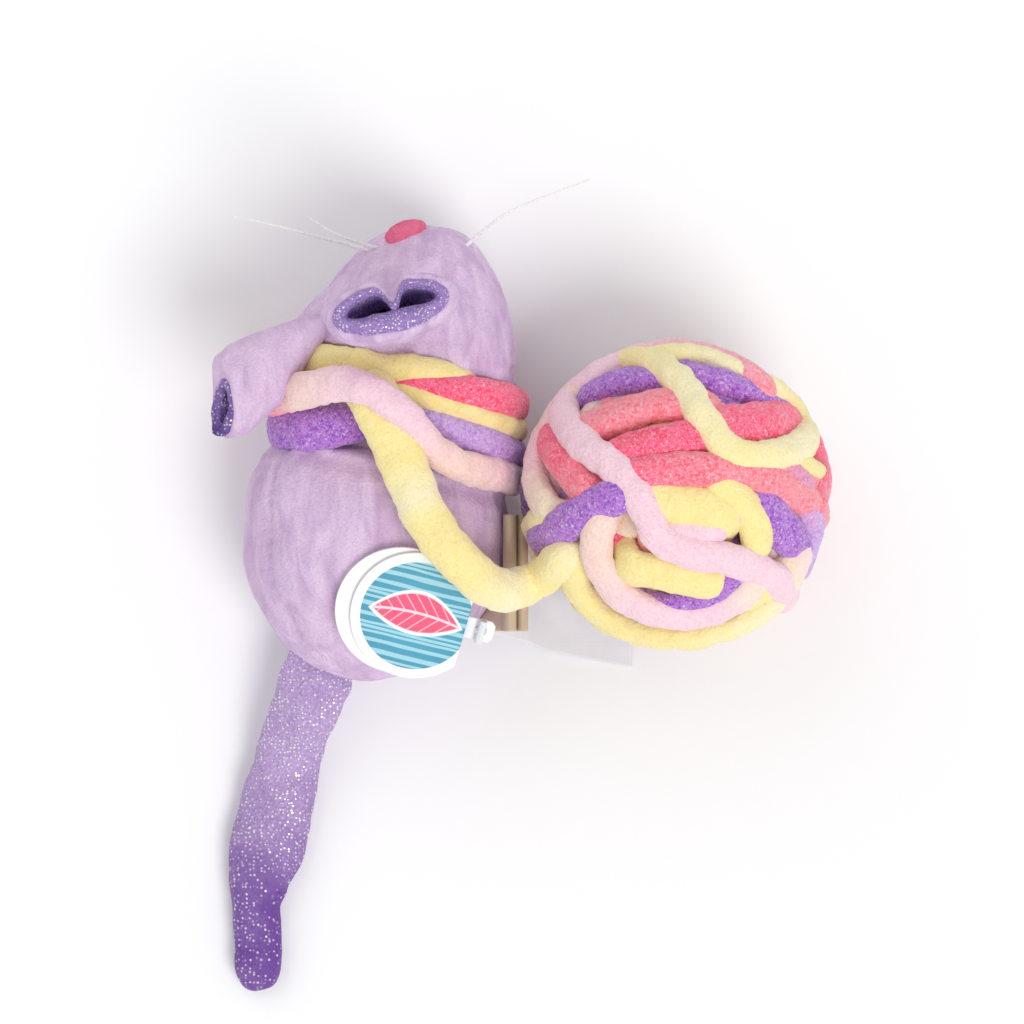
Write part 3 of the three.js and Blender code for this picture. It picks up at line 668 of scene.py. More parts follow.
def nubbed(piece: bpy.types.Object, *layers: Pair) -> bpy.types.Object:
    """Pushes a surface in and out by noise.

    Args:
        piece: the object.
        layers: each layer's lump size and height, in millimetres.

    Returns:
        The same object.
    """
    mesh = piece.data
    count = len(mesh.vertices)
    places, normals = np.empty(count * 3, np.float32), np.empty(count * 3, np.float32)
    mesh.vertices.foreach_get("co", places)
    mesh.vertex_normals.foreach_get("vector", normals)
    places, normals = places.reshape(-1, 3), normals.reshape(-1, 3)
    push = np.zeros(count)
    for size, height in layers:
        push += height * MM * np.array([noise.noise(p) for p in (places / (size * MM)).tolist()])
    mesh.vertices.foreach_set("co", (places + normals * push[:, None]).astype(np.float32).ravel())
    mesh.update()
    return piece


def dressed(
    piece: bpy.types.Object, finish: bpy.types.Material, slot: str, body: str | None, *nodes: str,
) -> bpy.types.Object:
    """Gives a piece its finish, its body and the nodes that it stands for.

    Args:
        piece: the finished mesh.
        finish: its material.
        slot: not used.
        body: the body that it rides on, or None where it bends between two.
        nodes: the CAD nodes that it replaces.

    Returns:
        The same piece.
    """
    piece.data.materials.clear()
    piece.data.materials.append(finish)
    if body is not None:
        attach(piece, body)
    if nodes:
        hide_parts(*nodes)
    LOG.info("%s: %d faces", piece.name, len(piece.data.polygons))
    return piece


def eased(places: Sequence[float], values: Sequence[float], at: Array) -> Array:
    """Reads a table along a smooth curve through its rows.

    Args:
        places: the rows' places, rising.
        values: the rows' values.
        at: where the curve is read.

    Returns:
        The values there.
    """
    x, y = np.asarray(places, float), np.asarray(values, float)
    rise = np.diff(y) / np.diff(x)
    between = np.where(rise[1:] * rise[:-1] > 0, (rise[1:] + rise[:-1]) / 2, 0)
    slope = np.concatenate([[rise[0]], between, [rise[-1]]])
    k = np.clip(np.searchsorted(x, at, side="right") - 1, 0, len(x) - 2)
    step = x[k + 1] - x[k]
    t = np.clip((at - x[k]) / step, 0, 1)
    return (
        y[k] * (1 + 2 * t) * (1 - t) ** 2 + y[k + 1] * t * t * (3 - 2 * t)
        + step * slope[k] * t * (1 - t) ** 2 - step * slope[k + 1] * t * t * (1 - t)
    )


def smooth_route(points: Sequence[Sequence[float]], step: float, fine: int = 24) -> Array:
    """Runs a smooth curve through points, with even steps along it.

    Args:
        points: the points in millimetres.
        step: the distance between two steps.
        fine: how many places are worked out between two points.

    Returns:
        The points of the curve.
    """
    p = np.array(points, float)
    p = np.vstack([2 * p[0] - p[1], p, 2 * p[-1] - p[-2]])
    knots = np.concatenate([[0], np.cumsum(np.sqrt(np.linalg.norm(np.diff(p, axis=0), axis=1)) + 1e-9)])
    dense = []
    for i in range(1, len(p) - 2):
        t0, t1, t2, t3 = knots[i - 1:i + 3]
        t = np.linspace(t1, t2, fine, endpoint=False)[:, None]
        a1 = (t1 - t) / (t1 - t0) * p[i - 1] + (t - t0) / (t1 - t0) * p[i]
        a2 = (t2 - t) / (t2 - t1) * p[i] + (t - t1) / (t2 - t1) * p[i + 1]
        a3 = (t3 - t) / (t3 - t2) * p[i + 1] + (t - t2) / (t3 - t2) * p[i + 2]
        b1 = (t2 - t) / (t2 - t0) * a1 + (t - t0) / (t2 - t0) * a2
        b2 = (t3 - t) / (t3 - t1) * a2 + (t - t1) / (t3 - t1) * a3
        dense.append((t2 - t) / (t2 - t1) * b1 + (t - t1) / (t2 - t1) * b2)
    dense = np.vstack([*dense, p[-2][None]])
    run = np.concatenate([[0], np.cumsum(np.linalg.norm(np.diff(dense, axis=0), axis=1))])
    even = np.linspace(0, run[-1], max(int(run[-1] / step), 8) + 1)
    return np.column_stack([np.interp(even, run, dense[:, k]) for k in range(3)])


def unit(vectors: Array) -> Array:
    """The same directions with a length of one."""
    return vectors / np.maximum(np.linalg.norm(vectors, axis=-1, keepdims=True), 1e-12)


@dataclass
class Run:
    """A run of yarn ready to be laid: its middle, which way is out, its half sizes and its dyes."""

    middle: Array
    outward: Array
    half_width: Array
    half_thick: Array
    dyes: Array

    def lay(self, bench: Bench, around: int = 26) -> None:
        """Lays the run as a tube with rounded ends.

        Args:
            bench: the mesh that takes it.
            around: how many faces it has round it.
        """
        forward = unit(np.gradient(self.middle, axis=0))
        aside = unit(np.cross(forward, self.outward))
        outward = np.cross(aside, forward)
        last = len(self.middle) - 1

        def place(u: Array, v: Array) -> Array:
            """The tube's point at its shares round and along.

            Args:
                u, v: the shares round and along.

            Returns:
                The points in millimetres.
            """
            i = np.rint(v * last).astype(int)
            angle = u * FULL
            return (
                self.middle[i]
                + aside[i] * (self.half_width[i] * np.cos(angle))[:, None]
                + outward[i] * (self.half_thick[i] * np.sin(angle))[:, None]
            )

        bench.laid(around, last, place, lambda u, v: self.dyes[np.rint(v * last).astype(int)])


def dyed_along(stops: Stops, count: int) -> Array:
    """The dye at each step of a run.

    Args:
        stops: shares of the run and the dye there.
        count: how many steps there are.

    Returns:
        Linear colours.
    """
    shares = np.linspace(0, 1, count)
    table = np.array([dye.linear for _, dye in stops])
    places = [place for place, _ in stops]
    return np.column_stack([np.interp(shares, places, table[:, k]) for k in range(3)])


def rounded_ends(count: int, step: float, radius: float) -> Array:
    """Shares of the girth along a run whose two ends are rounded off.

    Args:
        count: how many steps the run has.
        step: the distance between two steps.
        radius: how far each end's rounding reaches.

    Returns:
        The share of the girth at each step.
    """
    near = np.minimum(np.arange(count), np.arange(count)[::-1]) * step / radius
    return np.sqrt(np.clip(1 - (1 - np.minimum(near, 1)) ** 2, 0, 1))


# Stuffed forms


@dataclass(frozen=True)
class StuffedForm:
    """A stuffed half of the mouse: a neck that swells into a girth and rounds off at its far end.

    Its shares are rows of: the share of the length, then of the neck, the girth and the neck's tilt there.
    """

    start: float
    reach: float
    width: float
    height: float
    aside: float
    end_level: float
    shares: tuple[Quad, ...]
    ground: float = -math.inf
    bedding: float = 2.2
    neck_width: float = 35.6
    neck_height: float = 24.8
    neck_aside: float = 2.8
    neck_level: float = 19.0
    tilt: float = 0.23
    tip_aside: float = 0.0
    least_share: float = 0.3
    crowding: float = 1.8

    def at(self, share: Array, angle: Array, inset: float = 0.0) -> Array:
        """Points of the form's surface.

        Args:
            share: the share of the length from the neck.
            angle: the angle round it, in radians, 0 to the right and a quarter turn up.
            inset: how far inside the surface they lie, in millimetres.

        Returns:
            The points in millimetres.
        """
        rows = np.array([*self.shares, (1.0, 0.0, 0.0, 0.0)])
        neck = np.clip(eased(rows[:, 0], rows[:, 1], share), 0, 1)
        girth = np.sqrt(np.clip(eased(rows[:, 0], rows[:, 2] ** 2, share), 0, 1.1))
        tilt = np.clip(eased(rows[:, 0], rows[:, 3], share), 0, 1)
        first = self.shares[1][0]
        past = np.clip((share - first) / (1 - first), 0, 1)
        half_width = (self.neck_width * neck + self.width * girth) / 2
        half_height = (self.neck_height * neck + self.height * girth) / 2
        half_width = np.maximum(half_width - inset, half_width * self.least_share)
        half_height = np.maximum(half_height - inset, half_height * self.least_share)
        off = half_width * np.cos(angle)
        level = self.neck_level + (self.end_level - self.neck_level) * past ** 2 + half_height * np.sin(angle)
        low, soft = self.ground + inset, self.bedding
        bedded = low + soft * np.exp(np.minimum((level - low) / soft - 1, 0))
        swing = self.aside * np.sin(np.sqrt(past) * math.pi / 2)
        aside = self.neck_aside + swing + self.tip_aside * past ** 2
        return np.column_stack([
            aside + off,
            self.start + self.reach * share * (1 - inset / abs(self.reach)) - self.tilt * tilt * off,
            np.where(level < low + soft, bedded, level),
        ])

    def spot(self, share: float, degrees: float, lift: float = 0.0) -> Array:
        """One point over the surface, lifted off it."""
        return self.at(np.array([share]), np.array([math.radians(degrees)]), -lift)[0]

    def cloth(
        self, name: str, columns: int, rows: int, inset: float, folds: Callable[[Array], Array] | None = None,
    ) -> Bench:
        """Lays the form's cloth, open at the neck.

        Args:
            name: the piece's name.
            columns: faces round it.
            rows: faces along it.
            inset: how far inside the surface it lies.
            folds: how far each point is pushed along the outward way, in millimetres; they fade at the tip.

        Returns:
            The bench that holds it.
        """
        def place(u: Array, v: Array) -> Array:
            """The cloth's point at its shares round and along.

            Args:
                u, v: the shares round and along.

            Returns:
                The points in millimetres.
            """
            share = 1 - (1 - v) ** self.crowding
            angle = u * FULL - math.pi / 2
            points = self.at(share, angle, inset)
            if folds is not None:
                out = unit(np.column_stack([np.cos(angle), np.zeros_like(angle), np.sin(angle)]))
                fade = np.minimum((1 - v) * 9, 1)
                points = points + out * (folds(points) * fade)[:, None]
            return points

        bench = Bench(name)
        bench.laid(columns, rows, place)
        return bench


BODY = StuffedForm(
    start=23.85, reach=-49.75, width=49.0, height=39.0, aside=-5.9, end_level=16.5, ground=0.0, shares=(
        (0.0, 1.0, 0.0, 1.0), (0.15, 1.0, 0.0, 1.0), (0.195, 0.45, 0.56, 1.08), (0.26, 0.05, 0.92, 1.1),
        (0.34, 0.0, 0.99, 1.0), (0.44, 0.0, 1.0, 0.8), (0.56, 0.0, 1.0, 0.5), (0.66, 0.0, 0.94, 0.25),
        (0.76, 0.0, 0.825, 0.1), (0.855, 0.0, 0.665, 0.0), (0.925, 0.0, 0.49, 0.0), (0.975, 0.0, 0.28, 0.0),
    ),
)
HEAD = StuffedForm(
    start=24.15, reach=36.45, width=40.6, height=32.0, aside=2.2, end_level=17.0, tip_aside=2.2, shares=(
        (0.0, 1.0, 0.0, 1.0), (0.28, 1.0, 0.0, 1.0), (0.315, 0.45, 0.62, 1.0), (0.36, 0.03, 0.97, 0.98),
        (0.43, 0.0, 1.0, 0.8), (0.52, 0.0, 0.955, 0.5), (0.62, 0.0, 0.86, 0.25), (0.72, 0.0, 0.755, 0.1),
        (0.81, 0.0, 0.65, 0.0), (0.89, 0.0, 0.535, 0.0), (0.95, 0.0, 0.4, 0.0), (0.985, 0.0, 0.22, 0.0),
    ),
)


@dataclass(frozen=True)
class Furrow:
    """A furrow along a line seen from above, on the upper side of a form."""

    start: Pair
    end: Pair
    width: float
    depth: float
    above: float = 17.0
    end_share: float = 0.07

    def push(self, points: Array) -> Array:
        """How far it pushes each point of the form.

        Args:
            points: the form's points.

        Returns:
            The push of each point, in millimetres.
        """
        a, b = np.array(self.start), np.array(self.end)
        run = b - a
        share = np.clip(((points[:, :2] - a) @ run) / (run @ run), 0, 1)
        away = np.linalg.norm(points[:, :2] - (a + share[:, None] * run), axis=1)
        fade = np.sin(np.pi * (share * (1 - 2 * self.end_share) + self.end_share))
        return np.where(points[:, 2] > self.above, -self.depth * fade * np.exp(-(away / self.width) ** 2), 0)


@dataclass(frozen=True)
class Seam:
    """A seam's narrow furrow along a form, at an angle round it, and how its stitches deepen it."""

    degrees: float
    radius: float
    depth: float
    width: float = 0.9
    stitch_share: float = 0.0
    stitch_rate: float = 2.6

    def push(self, points: Array, angle: Array) -> Array:
        """How far it pushes each point of the form.

        Args:
            points: the form's points.
            angle: the angle of each point round the form.

        Returns:
            The push of each point, in millimetres.
        """
        off = (angle - math.radians(self.degrees)) * self.radius / self.width
        stitches = 1 + self.stitch_share * np.sin(points[:, 1] * self.stitch_rate)
        return -self.depth * np.exp(-off ** 2) * stitches


@dataclass(frozen=True)
class Gathers:
    """The gathers where a cover is drawn in at the neck, in waves of uneven width."""

    along: float
    slant: float
    reach: float
    depth: float
    waves: int
    sway: float
    sways: int

    def push(self, points: Array, angle: Array) -> Array:
        """How far they push each point of the form.

        Args:
            points: the form's points.
            angle: the angle of each point round the form.

        Returns:
            The push of each point, in millimetres.
        """
        near = np.exp(-((points[:, 1] - self.along + self.slant * points[:, 0]) / self.reach) ** 2)
        return self.depth * near * np.sin(angle * self.waves + self.sway * np.sin(angle * self.sways))


@dataclass
class StuffedCover:
    """A plush cover and the filling in it."""

    part: str
    form: StuffedForm
    middle: Pair
    gathers: Gathers
    seams: tuple[Seam, ...]
    furrows: tuple[Furrow, ...] = ()
    cover_grid: tuple[int, int] = (168, 130)
    cover_lumps: tuple[Pair, Pair] = ((7.0, 0.5), (2.2, 0.14))
    cloth: float = 1.3
    fibre_grid: tuple[int, int] = (48, 36)
    fibre_lumps: Pair = (5.0, 0.4)
    fibre_inset: float = 2.4

    def folds(self, points: Array) -> Array:
        """How far the gathers, the seams and the furrows push each point of the cover.

        Args:
            points: the cover's points.

        Returns:
            The push of each point, in millimetres.
        """
        angle = np.arctan2(points[:, 2] - self.middle[1], points[:, 0] - self.middle[0])
        push = self.gathers.push(points, angle)
        for furrow in self.furrows:
            push = push + furrow.push(points)
        for seam in self.seams:
            push = push + seam.push(points, angle)
        return push

    def build(self, wardrobe: Wardrobe) -> None:
        """Builds and dresses the cover and its filling.

        Args:
            wardrobe: the finishes.
        """
        cover = self.form.cloth(f"{self.part}_plush", *self.cover_grid, 0, self.folds).piece()
        nubbed(cover, *self.cover_lumps)
        shell = cover.modifiers.new("cloth", "SOLIDIFY")
        shell.thickness = self.cloth * MM
        shell.offset = -1
        dressed(cover, wardrobe.plush, "plush", "mouse", f"{self.part}_cover")
        filling = self.form.cloth(f"{self.part}_fibre", *self.fibre_grid, self.fibre_inset).piece()
        nubbed(filling, self.fibre_lumps)
        dressed(filling, wardrobe.filling, "fibre_filling", "mouse", f"{self.part}_filling")


BODY_COVER = StuffedCover(
    "body", BODY, middle=(-1, 19),
    gathers=Gathers(along=13.6, slant=0.23, reach=3.0, depth=0.3, waves=17, sway=2, sways=3),
    seams=(
        Seam(degrees=152, radius=20, depth=0.55, stitch_share=0.5),
        Seam(degrees=-90, radius=20, depth=0.35),
    ),
)
HEAD_COVER = StuffedCover(
    "head", HEAD, middle=(4, 18),
    gathers=Gathers(along=37.5, slant=0.2, reach=2.6, depth=0.22, waves=15, sway=1.5, sways=4),
    seams=(Seam(degrees=-90, radius=16, depth=0.4),),
    furrows=(
        Furrow((10.5, 52.5), (17.6, 46.0), width=1.3, depth=1.1),
        Furrow((-9.0, 36.4), (14.0, 38.6), width=1.6, depth=0.5),
        Furrow((-8.0, 53.5), (3.0, 56.0), width=2.2, depth=0.4),
    ),
    cover_grid=(150, 110), cover_lumps=((6.0, 0.45), (2.0, 0.14)), fibre_grid=(44, 32),
)


@dataclass
class Pouch:
    """The catnip pouch in the body's filling, a small sewn pillow as large as its solid."""

    cuts: int = 11
    waist_share: float = 0.08
    edge_share: float = 0.12
    lumps: Pair = (3.0, 0.3)

    def build(self, wardrobe: Wardrobe) -> None:
        """Builds and dresses the pillow.

        Args:
            wardrobe: the finishes.
        """
        low, high = (np.array(c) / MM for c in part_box("catnip_pouch"))
        middle, half = (low + high) / 2, (high - low) / 2
        bench = Bench("catnip_pouch_pillow")
        bmesh.ops.create_cube(bench.bm, size=2)
        bmesh.ops.subdivide_edges(bench.bm, edges=bench.bm.edges[:], cuts=self.cuts, use_grid_fill=True)
        for vert in bench.bm.verts:
            x, y, z = vert.co
            crown = (1 - x ** 4) * (1 - y ** 4)
            narrowed = x * (1 - self.waist_share * (1 - y * y))
            domed = z * (self.edge_share + (1 - self.edge_share) * crown)
            vert.co = Vector(middle + half * np.array([narrowed, y, domed])) * MM
        pillow = nubbed(bench.piece(), self.lumps)
        dressed(pillow, wardrobe.herb, "herb_cloth", "mouse", "catnip_pouch")


@dataclass
class Nose:
    """The nose patch, a low cushion on the muzzle with a dip in the middle of its lower edge."""

    share: float = 0.955
    degrees: float = 114.0
    half: Triple = (4.3, 2.1, 2.2)
    lean_degrees: float = -48.0
    roll_degrees: float = 30.0
    dip_share: float = 0.16
    dip_width_share: float = 0.16
    lumps: Pair = (1.4, 0.14)

    def build(self, wardrobe: Wardrobe) -> None:
        """Builds and dresses the cushion.

        Args:
            wardrobe: the finishes.
        """
        lean = Matrix.Rotation(math.radians(self.lean_degrees), 4, "X")
        roll = Matrix.Rotation(math.radians(self.roll_degrees), 4, "Z")
        bench = Bench("nose_patch")
        bmesh.ops.create_uvsphere(bench.bm, u_segments=64, v_segments=32, radius=1, calc_uvs=True)
        for vert in bench.bm.verts:
            x, y, z = vert.co
            dip = self.dip_share * math.exp(-(x / self.dip_width_share) ** 2) * max(-y, 0)
            vert.co = Vector((x * self.half[0], y * self.half[1] * (1 - dip), z * self.half[2]))
        seat = Matrix.Translation(Vector(HEAD.spot(self.share, self.degrees)) * MM)
        seated = seat @ (lean @ roll) @ Matrix.Scale(MM, 4)
        bmesh.ops.transform(bench.bm, matrix=seated, verts=bench.bm.verts)
        dressed(nubbed(bench.piece(), self.lumps), wardrobe.nose, "nose_plush", "mouse", "nose")


@dataclass(frozen=True)
class Whisker:
    """A tapering thread that springs from the muzzle and runs through free points."""

    name: str
    share: float
    degrees: float
    rest: tuple[Triple, Triple]
    root_radius: float = 0.34
    tip_radius: float = 0.14
    sunk: float = 0.6
    step: float = 0.8

    def build(self, wardrobe: Wardrobe) -> None:
        """Builds and dresses the thread.

        Args:
            wardrobe: the finishes.
        """
        route = smooth_route([HEAD.spot(self.share, self.degrees, -self.sunk), *self.rest], self.step)
        count = len(route)
        taper = np.linspace(self.root_radius, self.tip_radius, count)
        bench = Bench(f"{self.name}_thread", dyed=True)
        Run(route, np.tile(UP, (count, 1)), taper, taper, np.ones((count, 3))).lay(bench, 10)
        dressed(bench.piece(), wardrobe.thread, "thread", "mouse", self.name)


WHISKERS = (
    Whisker("whisker_left_long", 0.87, 145, ((-23.2, 60.6, 29.4), (-28.6, 61.8, 27))),
    Whisker("whisker_left_short", 0.885, 137, ((-8.8, 58.2, 28.2), (-14.4, 61.6, 27))),
    Whisker("whisker_right", 0.895, 34, ((22.6, 62.1, 27.2), (38.6, 68.9, 25))),
)


# Ears


@dataclass
class Ear:
    """A plush cup with a pinched mouth and a glitter lining that rolls out of it."""

    side: str
    seat: Triple
    aim: Triple
    front: Triple
    length: float = 20.5
    mouth: Pair = (22.4, 11.6)
    pinch: float = 4.2
    pinch_at: float = -0.5
    stiff_share: float = 0.34
    lips: Pair = (1.75, 4.4)
    bow: float = 0.0
    slant: Pair = (0.0, 0.0)
    dip: float = 0.0
    dip_share: float = 0.12
    root_share: float = -0.14
    fold_width: float = 1.7
    rim_share: float = 0.86
    rim_inset: float = 2.4
    rim_lift: Pair = (0.55, 0.8)
    lip_share: float = 0.45
    lip_inset: float = 1.0
    lip_lift: Pair = (1.7, 0.4)
    lip_waves: int = 7
    lip_wave_share: float = 0.075
    lining_reach_share: float = 0.5
    cup_grid: tuple[int, int] = (96, 72)
    cup_lumps: tuple[Pair, Pair] = ((5.0, 0.35), (1.8, 0.12))
    lining_grid: tuple[int, int] = (96, 56)
    lining_lumps: tuple[Pair, Pair] = ((3.0, 0.3), (1.1, 0.1))
    rows: tuple[Triple, ...] = (
        (-0.14, 0.0, 0.0), (-0.12, 0.14, 0.28), (-0.08, 0.3, 0.52), (0.05, 0.36, 0.66), (0.24, 0.46, 0.76),
        (0.42, 0.64, 0.84), (0.6, 0.82, 0.92), (0.8, 0.97, 1.0), (0.93, 1.0, 1.0), (1.0, 0.965, 0.95),
    )

    def basis(self) -> Array:
        """The ear's own axes as rows: across, front and along."""
        along = unit(np.array(self.aim))
        across = unit(np.cross(np.array(self.front), along))
        return np.array([across, np.cross(along, across), along])

    def shell(self, share: Array, angle: Array, inset: Array) -> Array:
        """Points of the ear.

        Args:
            share: the share of the ear's length.
            angle: the angle round it.
            inset: how far inside the plush they lie.

        Returns:
            The points in millimetres.
        """
        rows = np.array(self.rows)
        wide = eased(rows[:, 0], rows[:, 1], share) * self.mouth[0] / 2
        deep = eased(rows[:, 0], rows[:, 2], share) * self.mouth[1] / 2
        across = (wide - np.minimum(inset, wide * 0.9)) * np.cos(angle)
        front = (deep - np.minimum(inset, deep * 0.9)) * np.sin(angle)
        fold = np.exp(-((across - self.pinch_at) / self.fold_width) ** 2) * np.clip(np.sin(angle), 0, 1)
        front = front - self.pinch * np.clip(share, 0, 1) ** 2 * fold
        end = np.clip(share, 0, 1) ** 3
        back, aside = self.slant
        rise = np.clip(share, -1, 1) * self.length
        rise = rise - end * (back * (1 - np.sin(angle)) / 2 + aside * (1 + np.cos(angle)) / 2)
        local = np.column_stack([across + self.bow * np.sin(np.pi * np.clip(share, 0, 1)), front, rise])
        below = np.clip((self.dip_share - share) / (self.dip_share - self.root_share), 0, 1)
        sunk = self.dip * below ** 1.5
        return np.array(self.seat) + local @ self.basis() - sunk[:, None] * UP

    def build(self, wardrobe: Wardrobe) -> None:
        """Builds the plush cup and the lining.

        Args:
            wardrobe: the finishes.
        """
        along = self.basis()[2]

        def cup(u: Array, v: Array) -> Array:
            """The cup from its root up, over the rim and a little way in.

            Args:
                u, v: the shares round and along.

            Returns:
                The points in millimetres.
            """
            climb = self.root_share + v / self.rim_share * (1 - self.root_share)
            roll = np.clip((v - self.rim_share) / (1 - self.rim_share), 0, 1)
            points = self.shell(np.where(v < self.rim_share, climb, 1.0), u * FULL, self.rim_inset * roll)
            lift = self.rim_lift[0] * np.sin(roll * math.pi) - self.rim_lift[1] * roll ** 2
            return points + along * lift[:, None]

        def lining(u: Array, v: Array) -> Array:
            """The lining: a rolled lip outside, then down into the hollow.

            Args:
                u, v: the shares round and along.

            Returns:
                The points in millimetres.
            """
            roll = np.clip(v / self.lip_share, 0, 1)
            down = np.clip((v - self.lip_share) / (1 - self.lip_share), 0, 1)
            lip = self.lips[0] + (self.lips[1] - self.lips[0]) * (1 - np.sin(u * FULL)) / 2
            inset = self.lip_inset + lip * (roll + 0.4 * down)
            points = self.shell(1 - down * self.lining_reach_share, u * FULL, inset)
            waves = 1 - self.lip_wave_share * np.cos(u * FULL * self.lip_waves)
            lift = self.lip_lift[0] * np.sin(roll * math.pi) ** 0.8 * waves - self.lip_lift[1] * roll
            return points + along * (lift * (v < 0.999))[:, None]

        bench = Bench(f"{self.side}_ear_cup")
        bench.laid(*self.cup_grid, cup)
        plush = nubbed(bench.piece(), *self.cup_lumps)
        dressed(plush, wardrobe.plush, "plush", None, f"{self.side}_ear_plush")
        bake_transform(plush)
        bench = Bench(f"{self.side}_ear_glitter")
        bench.laid(*self.lining_grid, lining)
        inner = nubbed(bench.piece(), *self.lining_lumps)
        dressed(inner, wardrobe.lining, "glitter_cloth", f"{self.side}_ear", f"{self.side}_ear_lining")


LEFT_EAR = Ear(
    "left", seat=(-13.6, 40.2, 31.0), aim=(-0.735, -0.655, 0.25), front=(0, 0, -1), length=27.0,
    mouth=(11.6, 8.4), pinch=0.9, lips=(2.3, 2.0), bow=1.0, slant=(3.6, 6.2), dip=5.0, rows=(
        (-0.14, 0.0, 0.0), (-0.12, 0.2, 0.3), (-0.06, 0.46, 0.6), (0.05, 0.58, 0.72), (0.22, 0.84, 0.82),
        (0.4, 1.1, 1.0), (0.58, 1.29, 1.12), (0.74, 1.29, 1.14), (0.88, 1.17, 1.08), (0.96, 1.02, 1.0),
        (1.0, 0.9, 0.94),
    ),
)
RIGHT_EAR = Ear(
    "right", seat=(2.2, 41.2, 37.83), aim=(-0.02, 0.12, 0.99), front=(-0.23, 0.97, 0), mouth=(25.2, 12.2),
    pinch=3.9, pinch_at=0.6,
)


# Tail


@dataclass
class Tail:
    """A limp filled tube of glitter cloth, sewn flat into the rear seam."""

    root: Triple = (-13.57, -26.22, 12.65)
    seam_way: Pair = (0.86, -0.51)
    seam_lift: Pair = (1.2, 2.6)
    length: float = 59.3
    width: float = 14.2
    thick: float = 6.4
    sway: float = -11.6
    clear: float = 0.3
    tip_share: float = 0.6
    seam_lift_share: float = 0.16
    seam_turn_share: float = 0.22
    edge_seam: Pair = (0.035, 0.03)
    bend: tuple[Triple, Triple] = ((0, 1, 0), (-2, -8, 0))
    grid: tuple[int, int] = (72, 170)
    lumps: tuple[Pair, Pair] = ((6.0, 0.55), (2.4, 0.2))
    fibre_grid: tuple[int, int] = (24, 40)
    fibre_share: float = 0.16
    fibre_inset: float = 1.6
    rows: tuple[tuple[float, float, float, float, float], ...] = (
        (-0.03, 0.0, 0.88, 0.22, 0.0), (0.0, 0.0, 0.92, 0.34, 0.0), (0.03, 0.07, 0.93, 0.56, 0.05),
        (0.09, 0.2, 0.89, 0.86, 0.2), (0.184, 0.37, 0.85, 1.0, 0.5), (0.283, 0.51, 0.87, 1.0, 0.77),
        (0.38, 0.63, 0.94, 1.0, 0.93), (0.48, 0.75, 1.0, 1.0, 1.0), (0.58, 0.88, 0.95, 0.98, 1.0),
        (0.66, 0.96, 0.78, 0.92, 1.0), (0.73, 1.0, 0.61, 0.88, 1.0), (0.86, 0.98, 0.63, 0.88, 1.0),
        (0.95, 0.96, 0.54, 0.82, 1.0), (0.985, 0.955, 0.36, 0.62, 1.0), (1.0, 0.95, 0.0, 0.0, 1.0),
    )

    def course(self, share: Array) -> tuple[Array, Array, Array]:
        """The tail's middle and half sizes at shares of its length.

        Args:
            share: the shares of its length.

        Returns:
            The middle's points, the half widths and the half thicknesses.
        """
        rows = np.array(self.rows)
        sway, drop = (eased(rows[:, 0], rows[:, k], share) for k in (1, 4))
        wide, deep = (np.sqrt(np.clip(eased(rows[:, 0], rows[:, k] ** 2, share), 0, 1)) for k in (2, 3))
        low = self.clear + self.thick / 2 * np.maximum(deep, self.tip_share)
        near = np.clip(1 - share / self.seam_lift_share, 0, 1.2) ** 2
        middle = np.column_stack([
            self.root[0] + self.sway * sway + self.seam_lift[0] * near,
            self.root[1] - self.length * share + self.seam_lift[1] * near,
            self.root[2] + (low - self.root[2]) * drop,
        ])
        return middle, wide * self.width / 2, deep * self.thick / 2

    def tube(self, name: str, first: float, inset: float, columns: int, rows: int) -> Bench:
        """Lays the tail's tube from a first share to the tip.

        Args:
            name: the piece's name.
            first: the share that it starts at; one below 0 is sewn flat into the seam.
            inset: how far inside the cover it lies.
            columns: faces round it.
            rows: faces along it.

        Returns:
            The bench that holds it.
        """
        def place(u: Array, v: Array) -> Array:
            """The tube's point at its shares round and along.

            Args:
                u, v: the shares round and along.

            Returns:
                The points in millimetres.
            """
            share = first + (1 - first) * (1 - (1 - v) ** 1.5)
            middle, wide, deep = self.course(share)
            ahead, *_ = self.course(np.minimum(share + 0.01, 1))
            behind, *_ = self.course(share - 0.01)
            run = unit((ahead - behind) * [1, 1, 0])
            near = np.clip(1 - share / self.seam_turn_share, 0, 1)[:, None]
            square = np.column_stack([-run[:, 1], run[:, 0]])
            across = unit(square * (1 - near) + np.array(self.seam_way) * near)
            angle = u * FULL
            shut = np.sqrt(np.clip(v * 10, 0, 1))
            sewn = first < 0
            off = np.maximum(wide - inset, wide * 0.5) * np.cos(angle) * (1 if sewn else shut)
            up = np.maximum(deep - inset, deep * 0.5) * np.sin(angle) * shut
            ridge, ridge_width = self.edge_seam
            seam = 1 + ridge * np.exp(-((np.abs(np.cos(angle)) - 1) / ridge_width) ** 2)
            return middle + np.column_stack([across[:, 0] * off * seam, across[:, 1] * off * seam, up])

        bench = Bench(name)
        bench.laid(columns, rows, place)
        return bench

    def build(self, wardrobe: Wardrobe) -> None:
        """Builds the cover and its filling.

        Args:
            wardrobe: the finishes.
        """
        cover = self.tube("tail_glitter", self.rows[0][0], 0, *self.grid).piece()
        nubbed(cover, *self.lumps)
        dressed(cover, wardrobe.tail, "glitter_cloth", None, "tail_cover")
        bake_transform(cover)
        filling = self.tube("tail_fibre", self.fibre_share, self.fibre_inset, *self.fibre_grid).piece()
        dressed(filling, wardrobe.filling, "fibre_filling", "tail", "tail_filling")


# Yarn


@dataclass(frozen=True)
class NeckTurn:
    """A turn of yarn round the neck.

    Its rows hold the angle in degrees, the place along the toy, the lift off the neck and the width.
    """

    rows: tuple[Quad, ...]
    dyes: Stops
    thick: float = 5.6


